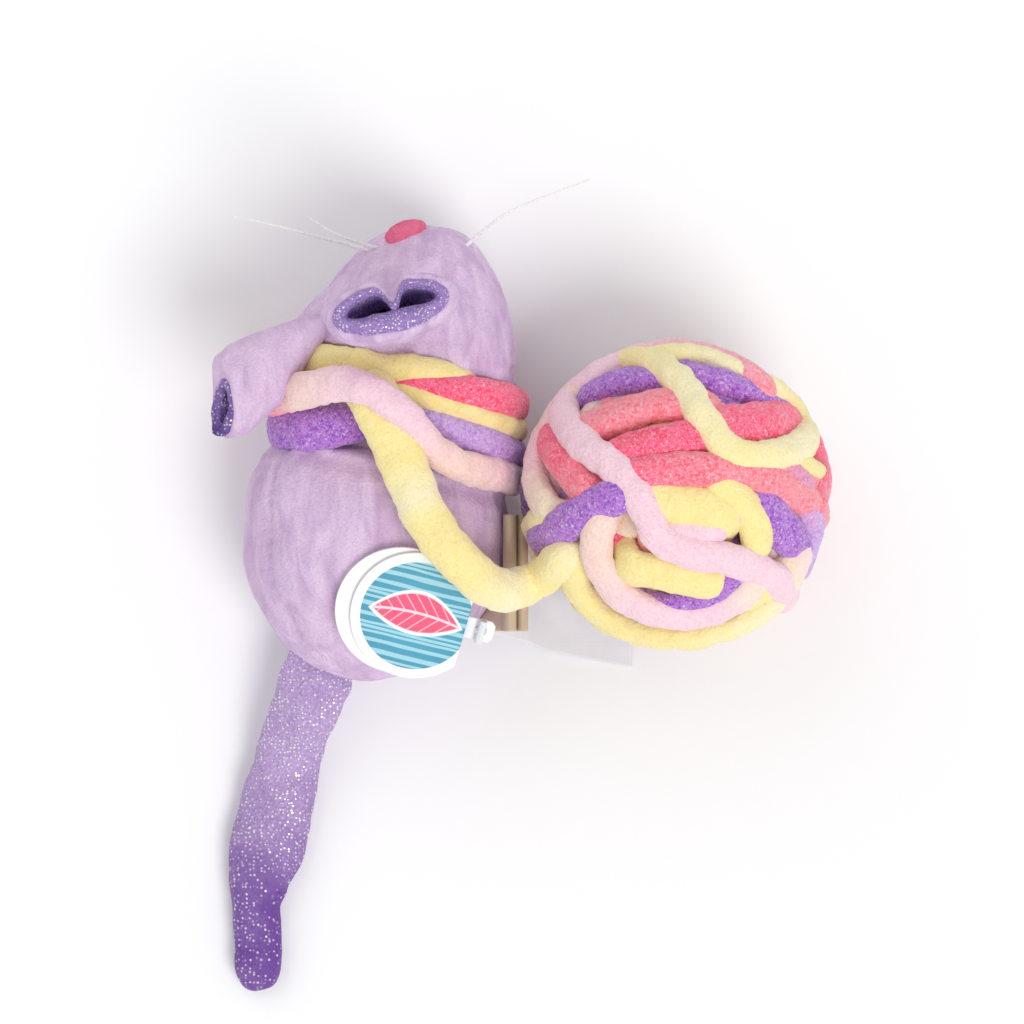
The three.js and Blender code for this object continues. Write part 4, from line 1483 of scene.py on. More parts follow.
@dataclass
class NeckWrap:
    """The turns that draw the neck in, lying half on each other, and the strand that crosses them."""

    middle: Pair = (2.8, 19.0)
    half: Pair = (20.4, 15.2)
    step: float = 0.55
    turns: tuple[NeckTurn, ...] = (
        # the yellow turn next to the head
        NeckTurn(
            (
                (122, 34.6, -1.4, 5.8), (108, 33.5, 0.5, 6.2), (95, 32.8, 0.9, 5.6),
                (82, 32.8, 0.9, 5.6), (62, 31.4, 0.0, 5.4), (46, 30.4, -2.2, 5.4), (15, 29.8, -3.0, 5.4),
                (-30, 29.8, -1.0, 5.6), (-60, 30.2, 0.0, 5.6), (-120, 31.4, 0.0, 5.6),
                (-180, 32.4, 0.0, 5.8), (-205, 33.4, 0.4, 6.2), (-224, 34.4, 0.8, 6.6),
                (-240, 34.3, 0.4, 6.2), (-249, 33.8, -1.4, 5.4),
            ),
            (
                (0, Dye.YELLOW), (0.2, Dye.YELLOW), (0.34, Dye.CORAL), (0.6, Dye.PEACH),
                (0.78, Dye.YELLOW), (1, Dye.YELLOW),
            ),
        ),
        # the hot pink turn, narrow at the top and fat at the right
        NeckTurn(
            (
                (108, 30.6, -2.6, 3.4), (97, 30.8, -1.0, 3.8), (88, 30.6, 0.0, 4.4),
                (74, 29.8, 0.8, 5.6), (57, 28.6, 1.2, 6.6), (35, 27.4, 1.4, 7.0), (5, 26.4, 1.2, 6.8),
                (-60, 26.6, 0.2, 6.2), (-120, 27.4, 0.0, 6.0), (-180, 28.2, -0.6, 6.0),
                (-210, 29.4, -1.8, 6.0), (-240, 30.4, -2.6, 5.0), (-254, 30.6, -2.8, 3.4),
            ),
            (
                (0, Dye.HOT_PINK), (0.34, Dye.HOT_PINK), (0.46, Dye.CORAL), (0.62, Dye.PURPLE),
                (0.8, Dye.CORAL), (1, Dye.HOT_PINK),
            ),
        ),
        # the cream turn
        NeckTurn(
            (
                (106, 28.9, -1.4, 4.4), (88, 28.7, 0.4, 4.6), (75, 27.5, 0.6, 4.6), (46, 24.2, 0.8, 4.8),
                (20, 22.2, 0.9, 5.2), (0, 21.6, 0.6, 5.4), (-60, 22.6, 0.0, 5.8), (-120, 23.6, 0.0, 5.8),
                (-180, 25.2, -0.6, 5.8), (-210, 26.6, -1.4, 5.4), (-240, 28.6, -1.8, 5.0),
                (-254, 28.9, -1.8, 4.4),
            ),
            (
                (0, Dye.YELLOW), (0.3, Dye.YELLOW), (0.5, Dye.CREAM), (0.75, Dye.BLUSH), (1, Dye.YELLOW),
            ),
        ),
        # the purple turn, fattest at the left
        NeckTurn(
            (
                (104, 24.2, -1.8, 5.0), (86, 23.4, 0.0, 6.0), (62, 21.1, 0.8, 6.6), (35, 18.8, 0.9, 6.8),
                (0, 17.0, 0.6, 6.6), (-60, 18.6, 0.0, 6.2), (-120, 19.6, 0.0, 6.6),
                (-160, 21.0, 1.1, 7.8), (-190, 21.8, 2.4, 8.8), (-215, 22.0, 2.0, 9.0),
                (-236, 22.2, 1.2, 8.4), (-252, 23.4, 0.0, 6.6), (-260, 24.0, -1.8, 5.0),
            ),
            (
                (0, Dye.LILAC), (0.18, Dye.LILAC), (0.28, Dye.PURPLE), (0.45, Dye.HOT_PINK),
                (0.62, Dye.PURPLE), (1, Dye.PURPLE),
            ),
            thick=5.4,
        ),
    )
    crossing: tuple[Quad, ...] = (
        (-20.4, 27.4, 17.0, 6.4), (-20.8, 27.6, 22.0, 7.0), (-19.4, 28.0, 28.6, 7.2),
        (-16.0, 28.7, 34.6, 7.2), (-11.4, 29.5, 39.4, 7.0), (-6.8, 29.8, 43.4, 6.6),
        (-2.6, 28.8, 46.7, 6.2), (1.6, 26.2, 47.4, 6.0), (5.6, 22.8, 45.2, 5.8), (8.6, 19.0, 42.4, 5.8),
        (11.2, 16.4, 39.6, 6.0), (14.6, 14.8, 36.8, 6.2), (18.8, 13.7, 32.2, 6.4),
        (22.2, 13.0, 26.0, 6.6), (23.6, 12.6, 19.0, 6.6), (21.8, 13.0, 12.6, 6.2),
        (17.2, 14.4, 8.8, 5.6),
    )
    crossing_dyes: Stops = (
        (0, Dye.HOT_PINK), (0.1, Dye.CORAL), (0.2, Dye.PEACH), (0.34, Dye.BLUSH), (0.5, Dye.BLUSH),
        (0.62, Dye.PEACH), (0.78, Dye.BLUSH), (0.9, Dye.BLUSH), (1, Dye.PEACH),
    )
    crossing_thick: float = 5.4
    end_radius: float = 2.4
    lumps: tuple[Pair, Pair] = ((3.4, 0.5), (1.4, 0.24))

    def outward(self, route: Array) -> Array:
        """Which way is out from the neck at each point of a route.

        Args:
            route: the route's points.

        Returns:
            The directions.
        """
        return unit(np.column_stack([
            (route[:, 0] - self.middle[0]) / self.half[0] ** 2, np.zeros(len(route)),
            (route[:, 2] - self.middle[1]) / self.half[1] ** 2]))

    def run(self, points: Array, widths: Array, thick: float, dyes: Stops) -> Run:
        """A run of yarn through points, as wide as the rows say.

        Args:
            points: the middle of the yarn at each row.
            widths: its width at each row.
            thick: its thickness.
            dyes: its dyes along it.

        Returns:
            The run.
        """
        route = smooth_route(points, self.step)
        gone = np.concatenate([[0], np.cumsum(np.linalg.norm(np.diff(points, axis=0), axis=1))])
        along = np.linspace(0, gone[-1], len(route))
        ends = rounded_ends(len(route), self.step, self.end_radius)
        half_width = eased(gone, widths, along) / 2 * ends
        return Run(route, self.outward(route), half_width, thick / 2 * ends, dyed_along(dyes, len(route)))

    def build(self, wardrobe: Wardrobe) -> None:
        """Builds the turns and the crossing strand as one piece.

        Args:
            wardrobe: the finishes.
        """
        bench = Bench("neck_yarn", dyed=True)
        for turn in self.turns:
            angles, places, lifts, widths = (np.array(column, float) for column in zip(*turn.rows))
            way = np.radians(angles)
            points = np.column_stack([
                self.middle[0] + (self.half[0] + lifts) * np.cos(way), places,
                self.middle[1] + (self.half[1] + lifts) * np.sin(way),
            ])
            self.run(points, widths, turn.thick, turn.dyes).lay(bench)
        over = np.array(self.crossing)
        self.run(over[:, :3], over[:, 3], self.crossing_thick, self.crossing_dyes).lay(bench)
        wrap = nubbed(bench.piece(), *self.lumps)
        dressed(wrap, wardrobe.yarn, "chenille_yarn", "mouse", "neck_wrap")


@dataclass
class FreeStrand:
    """The yarn between the neck and the ball."""

    diameter: float = 7.4
    flat_share: float = 0.97
    width_shares: tuple[Pair, ...] = ((0, 1.32), (0.14, 1.28), (0.45, 1.14), (0.8, 1.12), (1, 1.0))
    end_radius: float = 2.0
    step: float = 0.5
    around: int = 34
    lumps: tuple[Pair, Pair] = ((3.4, 0.45), (1.4, 0.22))
    bends_from: int = 5
    route: tuple[Triple, ...] = (
        (-3.4, 29.8, 39.6), (-2.2, 28.2, 42.0), (-0.9, 25.4, 43.0), (0.8, 22.0, 43.6),
        (2.8, 17.5, 43.9), (5.2, 11.5, 44.5), (7.8, 5.5, 45.1), (11.1, 0.6, 45.8), (14.7, -3.3, 45.4),
        (17.8, -6.3, 43.9), (20.6, -7.9, 41.4), (23.3, -8.4, 38.7), (26.3, -7.6, 36.4), (29.3, -6.2, 35.0),
    )
    dyes: Stops = (
        (0.0, Dye.YELLOW), (0.3, Dye.YELLOW), (0.42, Dye.CREAM), (0.5, Dye.YELLOW), (0.7, Dye.YELLOW),
        (0.84, Dye.CREAM), (1.0, Dye.YELLOW),
    )

    def build(self, wardrobe: Wardrobe) -> None:
        """Args:
            wardrobe: the finishes.
        """
        route = smooth_route(self.route, self.step)
        count = len(route)
        wide = np.interp(np.linspace(0, 1, count), *zip(*self.width_shares))
        half = self.diameter / 2 * np.maximum(rounded_ends(count, self.step, self.end_radius), 0.02)
        bench = Bench("free_yarn_strand", dyed=True)
        dyes = dyed_along(self.dyes, count)
        run = Run(route, np.tile(UP, (count, 1)), half * wide, half * self.flat_share, dyes)
        run.lay(bench, self.around)
        strand = nubbed(bench.piece(), *self.lumps)
        dressed(strand, wardrobe.yarn, "chenille_yarn", None, "free_strand")
        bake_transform(strand)


class Side(Enum):
    """The half of the ball that a strand lies on."""

    ABOVE = 1
    BELOW = -1


@dataclass(frozen=True)
class BallStrand:
    """A strand over the ball.

    Its points lie across and along from the ball's middle, and its layer is the radius that it lies at. It
    runs on round the ball before its first point and after its last one, and sinks in there.
    """

    points: tuple[Pair, ...]
    dyes: tuple[Dye, ...]
    layer: float
    width: float = 5.8
    before: float = 6.0
    after: float = 6.0
    side: Side = Side.ABOVE


@dataclass
class YarnBall:
    """The ball: a wound heart, a bed of turns, and the loose strands laid over them."""

    middle: Triple = (54.8, 8.85, 28.94)
    thick: float = 5.2
    heart_radius: float = 19.4
    heart_lumps: tuple[Pair, Pair] = ((3.0, 1.2), (1.0, 0.4))
    bed_radius: float = 21.9
    bed_width: float = 6.4
    bed_spread: float = 1.8
    bed_phase: float = 0.4
    bed_wave: float = 0.16
    bed_wave_shift: float = 1.7
    bed_step: float = 0.8
    bed_turns: int = 17
    bed_pole_turn: float = 2.4
    bed_dye_shares: tuple[float, ...] = (0, 0.3, 0.55, 0.8)
    plan_shift: Pair = (1.2, -1.3)
    layer_lift: float = 0.6
    fatten: float = 1.07
    step: float = 0.6
    end_radius: float = 2.4
    sink_run: float = 7.0
    sink_depth: float = 5.4
    lumps: tuple[Pair, Pair] = ((3.2, 0.45), (1.4, 0.22))
    strands: tuple[BallStrand, ...] = (
        # the long pale strand from the far edge down the left and across to the lower right
        BallStrand(
            ((4, 26), (-6, 26), (-14, 22.5), (-20, 19), (-20.7, 15.2), (-17.8, 10.4), (-12.5, 6.4),
             (-8, 0.6), (-4.9, -6), (0.8, -8.9), (8.8, -10.5), (16.6, -14), (19.4, -17.4)),
            (Dye.CORAL, Dye.BLUSH, Dye.BLUSH, Dye.BLUSH, Dye.BLUSH),
            layer=26.6, width=5.9, before=20, after=26,
        ),
        # the yellow strand from the upper left, bent down towards the middle
        BallStrand(
            ((-16.5, 22.5), (-10.7, 24.6), (-4.5, 24.4), (0, 20.6), (3.1, 15.2), (6.6, 10.4), (9.2, 8.6)),
            (Dye.YELLOW, Dye.YELLOW, Dye.CREAM, Dye.YELLOW), layer=26.5, width=5.7, before=8, after=5,
        ),
        # the yellow loop over the upper right
        BallStrand(
            ((-4, 25), (3.5, 25.6), (9.7, 23.6), (15.5, 20.4), (21, 17.6), (24, 13.4), (22.4, 10.6),
             (17.7, 8.6), (11.5, 8.4), (9, 8.6)),
            (Dye.YELLOW, Dye.CREAM, Dye.YELLOW, Dye.CREAM, Dye.YELLOW),
            layer=26.4, width=5.9, before=6, after=4,
        ),
        BallStrand(
            ((7, 26), (12.8, 23.6), (17.7, 20.4), (22, 16), (25.4, 10)),
            (Dye.CREAM, Dye.YELLOW, Dye.CREAM), layer=25.4, width=5.8, before=22, after=16,
        ),
        # what shows between them at the top
        BallStrand(
            ((-15.6, 18.8), (-10.3, 20.8), (-5, 21.6), (1, 22)),
            (Dye.PURPLE,), layer=24.6, width=7,
        ),
        BallStrand(
            ((-17.6, 11.8), (-10.7, 15.2), (-4.5, 17), (3, 17)),
            (Dye.CORAL,), layer=24.8, width=7,
        ),
        BallStrand(
            ((-13, 7.6), (-10.7, 9), (-4.5, 10.8), (2.6, 11.9), (8, 12.4)),
            (Dye.HOT_PINK,), layer=25.0, width=6.4,
        ),
        BallStrand(
            ((0.6, 22.6), (3.4, 22), (8.4, 20.6), (13.6, 18.6), (18, 16)),
            (Dye.PURPLE,), layer=24.7, width=6.6,
        ),
        BallStrand(
            ((5.6, 13.4), (8.8, 13.7), (14.6, 14.2), (20.4, 14.6)),
            (Dye.HOT_PINK,), layer=24.9, width=8.4,
        ),
        # the coral strands across the middle
        BallStrand(
            ((-9.4, 5), (-4, 5.9), (2.2, 6.2), (9, 6), (14, 5.2), (19, 2.6), (24.8, -1.6)),
            (Dye.HOT_PINK, Dye.CORAL, Dye.CORAL, Dye.CORAL), layer=25.6, width=6.4, before=6, after=22,
        ),
        BallStrand(
            ((13, 6.4), (17.6, 5.8), (22.4, 3.8), (25.6, 0.6)),
            (Dye.CORAL,), layer=24.8, width=6.4, before=6, after=30,
        ),
        BallStrand(
            ((25.6, 3), (25.9, 7), (24.6, 12)),
            (Dye.CORAL, Dye.HOT_PINK, Dye.HOT_PINK), layer=26.2, width=5.6, before=12, after=8,
        ),
        BallStrand(
            ((18.6, 8.4), (21.6, 6.6), (24.6, 4.6)),
            (Dye.YELLOW,), layer=25.6, width=4.6,
        ),
        # the lower half
        BallStrand(
            ((-6, 0.8), (-3.4, 0.4), (0, -0.2), (4, -1), (7, -2.2)),
            (Dye.YELLOW,), layer=25.2, width=7.6,
        ),
        BallStrand(
            ((6.6, 3.4), (9.8, 0.6), (12.4, -3), (13.4, -7.4)),
            (Dye.YELLOW,), layer=25.2, width=6.4,
        ),
        BallStrand(
            ((-3.4, -5.6), (0, -5), (4.4, -4.4), (8, -1.6)),
            (Dye.BLUSH,), layer=24.8, width=6,
        ),
        BallStrand(
            ((14.8, -0.6), (17, -3.6), (19.8, -6.6), (22, -9.6)),
            (Dye.PURPLE,), layer=25.0, width=7.4,
        ),
        BallStrand(
            ((22.8, 0), (24.2, -5), (23, -11)),
            (Dye.CORAL, Dye.LILAC, Dye.LILAC), layer=25.4, width=7.2, before=16, after=16,
        ),
        BallStrand(
            ((-9, -11.6), (-4.6, -12.6), (0, -13.6), (4.6, -14.6)),
            (Dye.YELLOW,), layer=25.4, width=7,
        ),
        BallStrand(
            ((-7.6, -18.4), (-3, -18.9), (1.6, -18.2), (6.8, -15.4), (9, -12.6)),
            (Dye.PURPLE,), layer=25.0, width=5.4,
        ),
        BallStrand(
            ((-15, -3.4), (-15.8, -7.4), (-14.6, -12.6), (-10.9, -17.2), (-4.6, -20.4), (2.6, -20.9),
             (8.8, -18.8), (13, -15.2)),
            (Dye.PEACH, Dye.PEACH, Dye.BLUSH, Dye.BLUSH, Dye.CREAM),
            layer=26.4, width=6.0, before=8, after=6,
        ),
        BallStrand(
            ((7, -18.4), (11.4, -17.4), (15.6, -15.6), (19.6, -12)),
            (Dye.CREAM, Dye.YELLOW, Dye.BLUSH), layer=25.4, width=7,
        ),
        # the yellow strand round the near edge
        BallStrand(
            ((-19.4, -11.6), (-18.8, -15.6), (-15.8, -19.6), (-10.6, -23), (-3.4, -24.8), (4.4, -24.6),
             (11.4, -22.4), (17, -18.8), (20.6, -13.6)),
            (Dye.YELLOW, Dye.YELLOW, Dye.YELLOW, Dye.CREAM, Dye.BLUSH),
            layer=26.3, width=6.2, before=8, after=10,
        ),
        BallStrand(
            ((-19, -15), (-12, -22.6), (-2, -25.4), (9, -24), (17, -18)),
            (Dye.YELLOW, Dye.YELLOW, Dye.CREAM),
            layer=26.0, width=6.2, before=20, after=20, side=Side.BELOW,
        ),
        # the left edge, towards the mouse
        BallStrand(
            ((-25, -7.4), (-21.8, -4.6), (-18.7, -2.4), (-13.8, 0.6), (-11, 2)),
            (Dye.PURPLE,), layer=26.6, width=6.8, before=8, after=4,
        ),
        BallStrand(
            ((-24, 11.4), (-25.6, 7.6), (-25.8, 3.6), (-24, -1)),
            (Dye.CREAM, Dye.BLUSH, Dye.CREAM), layer=26.4, width=6.2, before=18, after=8,
        ),
        BallStrand(
            ((-23, 11), (-21.8, 8), (-19.6, 5), (-17, 2)),
            (Dye.HOT_PINK, Dye.HOT_PINK, Dye.CORAL), layer=25.6, width=6, before=14, after=6,
        ),
        BallStrand(
            ((-23, -3.4), (-25.6, -5.8), (-24.2, -10.6), (-21, -13)),
            (Dye.CREAM, Dye.YELLOW, Dye.CREAM), layer=26.2, width=5.4,
        ),
        # its purple deepens to plum as painted shade on the ball's shaded lower left side
        BallStrand(
            ((-18.6, 17.6), (-24, 10.4), (-26, 3), (-25, -4)),
            (Dye.PURPLE, Dye.PLUM, Dye.PLUM), layer=26.2, width=6.4, before=24, after=24, side=Side.BELOW,
        ),
    )
    under_layer: float = 23.9
    under_lift: float = 0.8
    under_width: float = 6.2
    under_run: float = 14.0
    # strands over the half that faces the ground, each with its level over the bed
    under: tuple[tuple[int, tuple[Pair, ...]], ...] = (
        (0, ((-20, 8), (-8, 4), (6, -2), (20, -10))),
        (1, ((-16, -16), (-6, -4), (2, 8), (8, 20))),
        (2, ((20, 12), (10, 10), (-2, 12), (-16, 16))),
        (0, ((-22, -2), (-10, -8), (4, -12), (18, -12))),
        (3, ((14, 18), (16, 6), (12, -6), (6, -18))),
        (3, ((-8, 20), (-12, 8), (-10, -6), (-4, -20))),
        (2, ((22, 2), (12, 0), (0, 0), (-14, 0))),
        (1, ((-4, -22), (4, -10), (14, 2), (22, 10))),
    )
    tuck_half: Pair = (3.6, 3.3)
    tuck_end_radius: float = 5.0
    tucked: tuple[Triple, ...] = (
        (25.6, -7.8, 36.8), (28.2, -6.8, 35.9), (30.4, -5.2, 38.2), (32.4, -3.3, 42.4), (34.6, -1.4, 44.4),
        (36.8, 0.8, 44.2),
    )

    def arc(self, strand: BallStrand) -> Run:
        """The run of a strand laid on its layer, sinking in at both ends.

        Args:
            strand: the strand.

        Returns:
            The run.
        """
        plan = np.array(strand.points, float)
        layer = strand.layer + self.layer_lift
        up = strand.side.value * np.sqrt(np.maximum(strand.layer ** 2 - (plan ** 2).sum(axis=1), 0))
        plan = plan + np.array(self.plan_shift) * (np.maximum(up, 0) / strand.layer)[:, None]
        route = unit(smooth_route(np.column_stack([plan, up]), self.step)) * layer
        first = self.onward(route[1], route[0], strand.before)[::-1]
        last = self.onward(route[-2], route[-1], strand.after)
        whole = np.vstack([first[:-1], route, last[1:]])
        count = len(whole)
        run = np.arange(count) * self.step
        sink = np.ones(count)
        for gone, reach in ((run, strand.before), (run[::-1], strand.after)):
            sink = np.minimum(sink, np.clip(gone / min(reach, self.sink_run), 0, 1))
        sink = sink * sink * (3 - 2 * sink)
        out = unit(whole)
        middle = np.array(self.middle) + out * (layer - self.sink_depth * (1 - sink))[:, None]
        ends = rounded_ends(count, self.step, self.end_radius)
        shares = np.linspace(0, 1, len(strand.dyes))
        dyes = dyed_along(list(zip(shares, strand.dyes)), count)
        return Run(middle, out, strand.width * self.fatten / 2 * ends, self.thick / 2 * ends, dyes)

    def onward(self, before: Array, last: Array, length: float) -> Array:
        """Runs on round the ball from a last point, the way that the strand was going.

        Args:
            before: the point before the last one, seen from the ball's middle.
            last: the last point, seen from the ball's middle.
            length: how far the strand runs on.

        Returns:
            The points from the last one on.
        """
        out = unit(last)
        way = last - before
        way = unit(way - out * (way @ out))
        radius = np.linalg.norm(last)
        turn = np.arange(max(int(length / self.step), 1) + 1) * self.step / radius
        return radius * (np.cos(turn)[:, None] * out + np.sin(turn)[:, None] * way)

    def bed(self, bench: Bench) -> None:
        """Lays a bed of whole turns whose poles are spread evenly.

        Args:
            bench: the mesh that takes them.
        """
        order = (
            Dye.PURPLE, Dye.HOT_PINK, Dye.CORAL, Dye.BLUSH, Dye.CREAM, Dye.YELLOW, Dye.CREAM, Dye.BLUSH,
            Dye.LILAC,
        )
        count = int(FULL * self.bed_radius / self.bed_step) + 1
        turn = np.linspace(0, FULL, count)
        half_width, half_thick = np.full(count, self.bed_width / 2), np.full(count, self.thick / 2)
        for k in range(self.bed_turns):
            z = (k + 0.5) / self.bed_turns
            flat, way = math.sqrt(1 - z * z), k * self.bed_pole_turn + self.bed_phase
            pole = np.array([flat * math.cos(way), flat * math.sin(way), z])
            one = unit(np.cross(pole, [0.3, 0.5, 0.8]))
            other = np.cross(pole, one)
            wave = self.bed_wave * np.sin(turn * 2 + k * self.bed_wave_shift)
            out = unit(np.cos(turn)[:, None] * one + np.sin(turn)[:, None] * other + wave[:, None] * pole)
            stops = [(place, order[(k * 2 + i) % len(order)]) for i, place in enumerate(self.bed_dye_shares)]
            dyes = dyed_along([*stops, (1.0, stops[0][1])], count)
            radius = self.bed_radius - self.bed_spread / 2 + self.bed_spread * k / self.bed_turns
            Run(np.array(self.middle) + out * radius, out, half_width, half_thick, dyes).lay(bench, 20)

    def build(self, wardrobe: Wardrobe) -> None:
        """Builds the heart, the bed and the strands.

        Args:
            wardrobe: the finishes.
        """
        heart = Bench("ball_heart", dyed=True)
        bmesh.ops.create_icosphere(heart.bm, subdivisions=5, radius=self.heart_radius * MM, calc_uvs=True)
        bmesh.ops.translate(heart.bm, verts=heart.bm.verts, vec=Vector(self.middle) * MM)
        # the heart is dyed plum as painted shade: it shows only deep between the strands
        for vert in heart.bm.verts:
            vert[heart.dye] = (*Dye.PLUM.linear, 1.0)
        core = nubbed(heart.piece(), *self.heart_lumps)
        dressed(core, wardrobe.yarn, "ball_yarn", "yarn_ball", "ball_core")
        bed = Bench("ball_yarn_bed", dyed=True)
        self.bed(bed)
        dressed(nubbed(bed.piece(), *self.lumps), wardrobe.yarn, "ball_yarn", "yarn_ball")
        over = Bench("ball_yarn_strands", dyed=True)
        for strand in self.strands:
            self.arc(strand).lay(over)
        self.underside(over)
        self.tuck(over)
        winding = nubbed(over.piece(), *self.lumps)
        dressed(winding, wardrobe.yarn, "ball_yarn", "yarn_ball", "ball_winding")

    def tuck(self, bench: Bench) -> None:
        """Lays the end of the free strand, which climbs the ball and is tucked in under the purple one.

        Args:
            bench: the mesh that takes it.
        """
        route = smooth_route(self.tucked, self.step)
        ends = rounded_ends(len(route), self.step, self.tuck_end_radius)
        dyes = dyed_along(((0, Dye.YELLOW), (0.5, Dye.YELLOW), (1, Dye.CREAM)), len(route))
        half_width, half_thick = (half * ends for half in self.tuck_half)
        Run(route, unit(route - np.array(self.middle)), half_width, half_thick, dyes).lay(bench)

    def underside(self, bench: Bench) -> None:
        """Lays loose strands over the half that faces the ground.

        Args:
            bench: the mesh that takes them.
        """
        dyes = list(Dye)
        for k, (level, points) in enumerate(self.under):
            shades = tuple(dyes[(k * 3 + shift) % len(dyes)] for shift in (1, 3, 4))
            layer = self.under_layer + self.under_lift * level
            strand = BallStrand(
                points, shades, layer, self.under_width, self.under_run, self.under_run, Side.BELOW,
            )
            self.arc(strand).lay(bench)


# Tag and label


@dataclass
class HangTag:
    """A round folded tag on its pin."""

    origin: Triple = (15.49, -15.19, 34.7)
    across: Triple = (-0.9628, 0.2408, 0.1229)
    along: Triple = (-0.2657, -0.9266, -0.2661)
    up: Triple = (0.0498, -0.2888, 0.9561)
    radius: float = 12.3
    thick: float = 0.6
    front_at: Pair = (9.9, 0.95)
    back_at: Pair = (12.8, 0.0)
    spine: Pair = (5.2, 4.2)
    spine_corner: float = 0.8
    spine_lap: float = 0.01
    hole: float = 1.1
    fold_clear: float = 0.3
    soft_edge: float = 0.13
    sharp: float = 1.2

    def frame(self) -> Matrix:
        """The tag's own frame, from millimetres to metres."""
        columns = Matrix((self.across, self.along, self.up)).transposed().to_4x4()
        return Matrix.Translation(Vector(self.origin) * MM) @ columns @ Matrix.Scale(MM, 4)

    def leaf(self, name: str, at: Pair, cut: bool) -> bpy.types.Object:
        """Builds a leaf of card with a soft edge.

        Args:
            name: the piece's name.
            at: how far its middle lies from the fold, and its level.
            cut: whether it is cut straight along the fold; otherwise it carries the spine with its hole.

        Returns:
            The leaf.
        """
        bench = Bench(name)
        bm = bench.bm
        bmesh.ops.create_circle(bm, cap_ends=True, segments=120, radius=self.radius)
        bmesh.ops.translate(bm, verts=bm.verts, vec=(at[0], 0, at[1] + self.thick / 2))
        if cut:
            whole = [*bm.verts, *bm.edges, *bm.faces]
            fold = (self.fold_clear, 0, 0)
            bmesh.ops.bisect_plane(bm, geom=whole, plane_co=fold, plane_no=(-1, 0, 0), clear_outer=True)
        else:
            self.spined(bm, at)
        bm.faces.ensure_lookup_table()
        bm.normal_update()
        if bm.faces[0].normal.z < 0:
            bmesh.ops.reverse_faces(bm, faces=bm.faces)
        body = bmesh.ops.extrude_face_region(bm, geom=bm.faces[:])["geom"]
        lower = [part for part in body if isinstance(part, bmesh.types.BMVert)]
        bmesh.ops.translate(bm, verts=lower, vec=(0, 0, -self.thick))
        bmesh.ops.recalc_face_normals(bm, faces=bm.faces)
        rims = [e for e in bm.edges if len(e.link_faces) == 2 and e.calc_face_angle(0) > self.sharp
                and abs(e.verts[0].co.z - e.verts[1].co.z) < 1e-6]
        bmesh.ops.bevel(
            bm, geom=rims, offset=self.soft_edge, affect="EDGES", segments=2, profile=0.5, material=-1)
        layer = bm.loops.layers.uv["UVMap"]
        for face in bm.faces:
            for loop in face.loops:
                x, y = (loop.vert.co.x - at[0]) / self.radius, loop.vert.co.y / self.radius
                loop[layer].uv = (0.5 - x / 2, 0.5 - y / 2)
        bmesh.ops.transform(bm, matrix=self.frame(), verts=bm.verts)
        made = bench.piece()
        for polygon in made.data.polygons:
            polygon.use_smooth = False
        return made

    def spined(self, bm: bmesh.types.BMesh, at: Pair) -> None:
        """Joins the spine to a disc and bores its hole.

        Args:
            bm: the disc's mesh.
            at: how far the disc's middle lies from the fold, and its level.
        """
        reach, half, corner = self.spine[0], self.spine[1] / 2, self.spine_corner
        level = at[1] + self.thick / 2
        edge = at[0] - math.sqrt(self.radius ** 2 - half ** 2) - self.spine_lap
        rim = bmesh.ops.create_circle(bm, segments=24, radius=self.hole)["verts"]
        bmesh.ops.translate(bm, verts=rim, vec=(-reach / 2, 0, level))
        corners = [bm.verts.new((x, y, level)) for x, y in (
            (edge, -half), (-reach + corner, -half), (-reach, -half + corner),
            (-reach, half - corner), (-reach + corner, half), (edge, half))]
        outline = [bm.edges.new(ends) for ends in zip(corners, corners[1:] + corners[:1])]
        ring = list(dict.fromkeys(e for vert in rim for e in vert.link_edges))
        bmesh.ops.triangle_fill(bm, use_beauty=True, use_dissolve=False, edges=outline + ring)

    def build(self, wardrobe: Wardrobe) -> None:
        """Builds both leaves and dresses the pin.

        Args:
            wardrobe: the finishes.
        """
        back = self.leaf("tag_back_leaf", self.back_at, False)
        dressed(back, wardrobe.tag_plain, "tag_card", "tag", "tag_back")
        front = self.leaf("tag_front_leaf", self.front_at, True)
        dressed(front, wardrobe.tag_print, "tag_card", "tag_leaf", "tag_front")
        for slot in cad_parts["tag_pin"].material_slots:
            slot.material = wardrobe.pin


@dataclass(frozen=True)
class LabelStrip:
    """A strip of the label: its solid's node, its seam's level, how it is held and how far its edges curl.

    Its course holds steps outwards, along the body and upwards from the seam.
    """

    name: str
    node: str
    held: str
    seam_level: float
    curl: float
    course: tuple[Triple, ...]


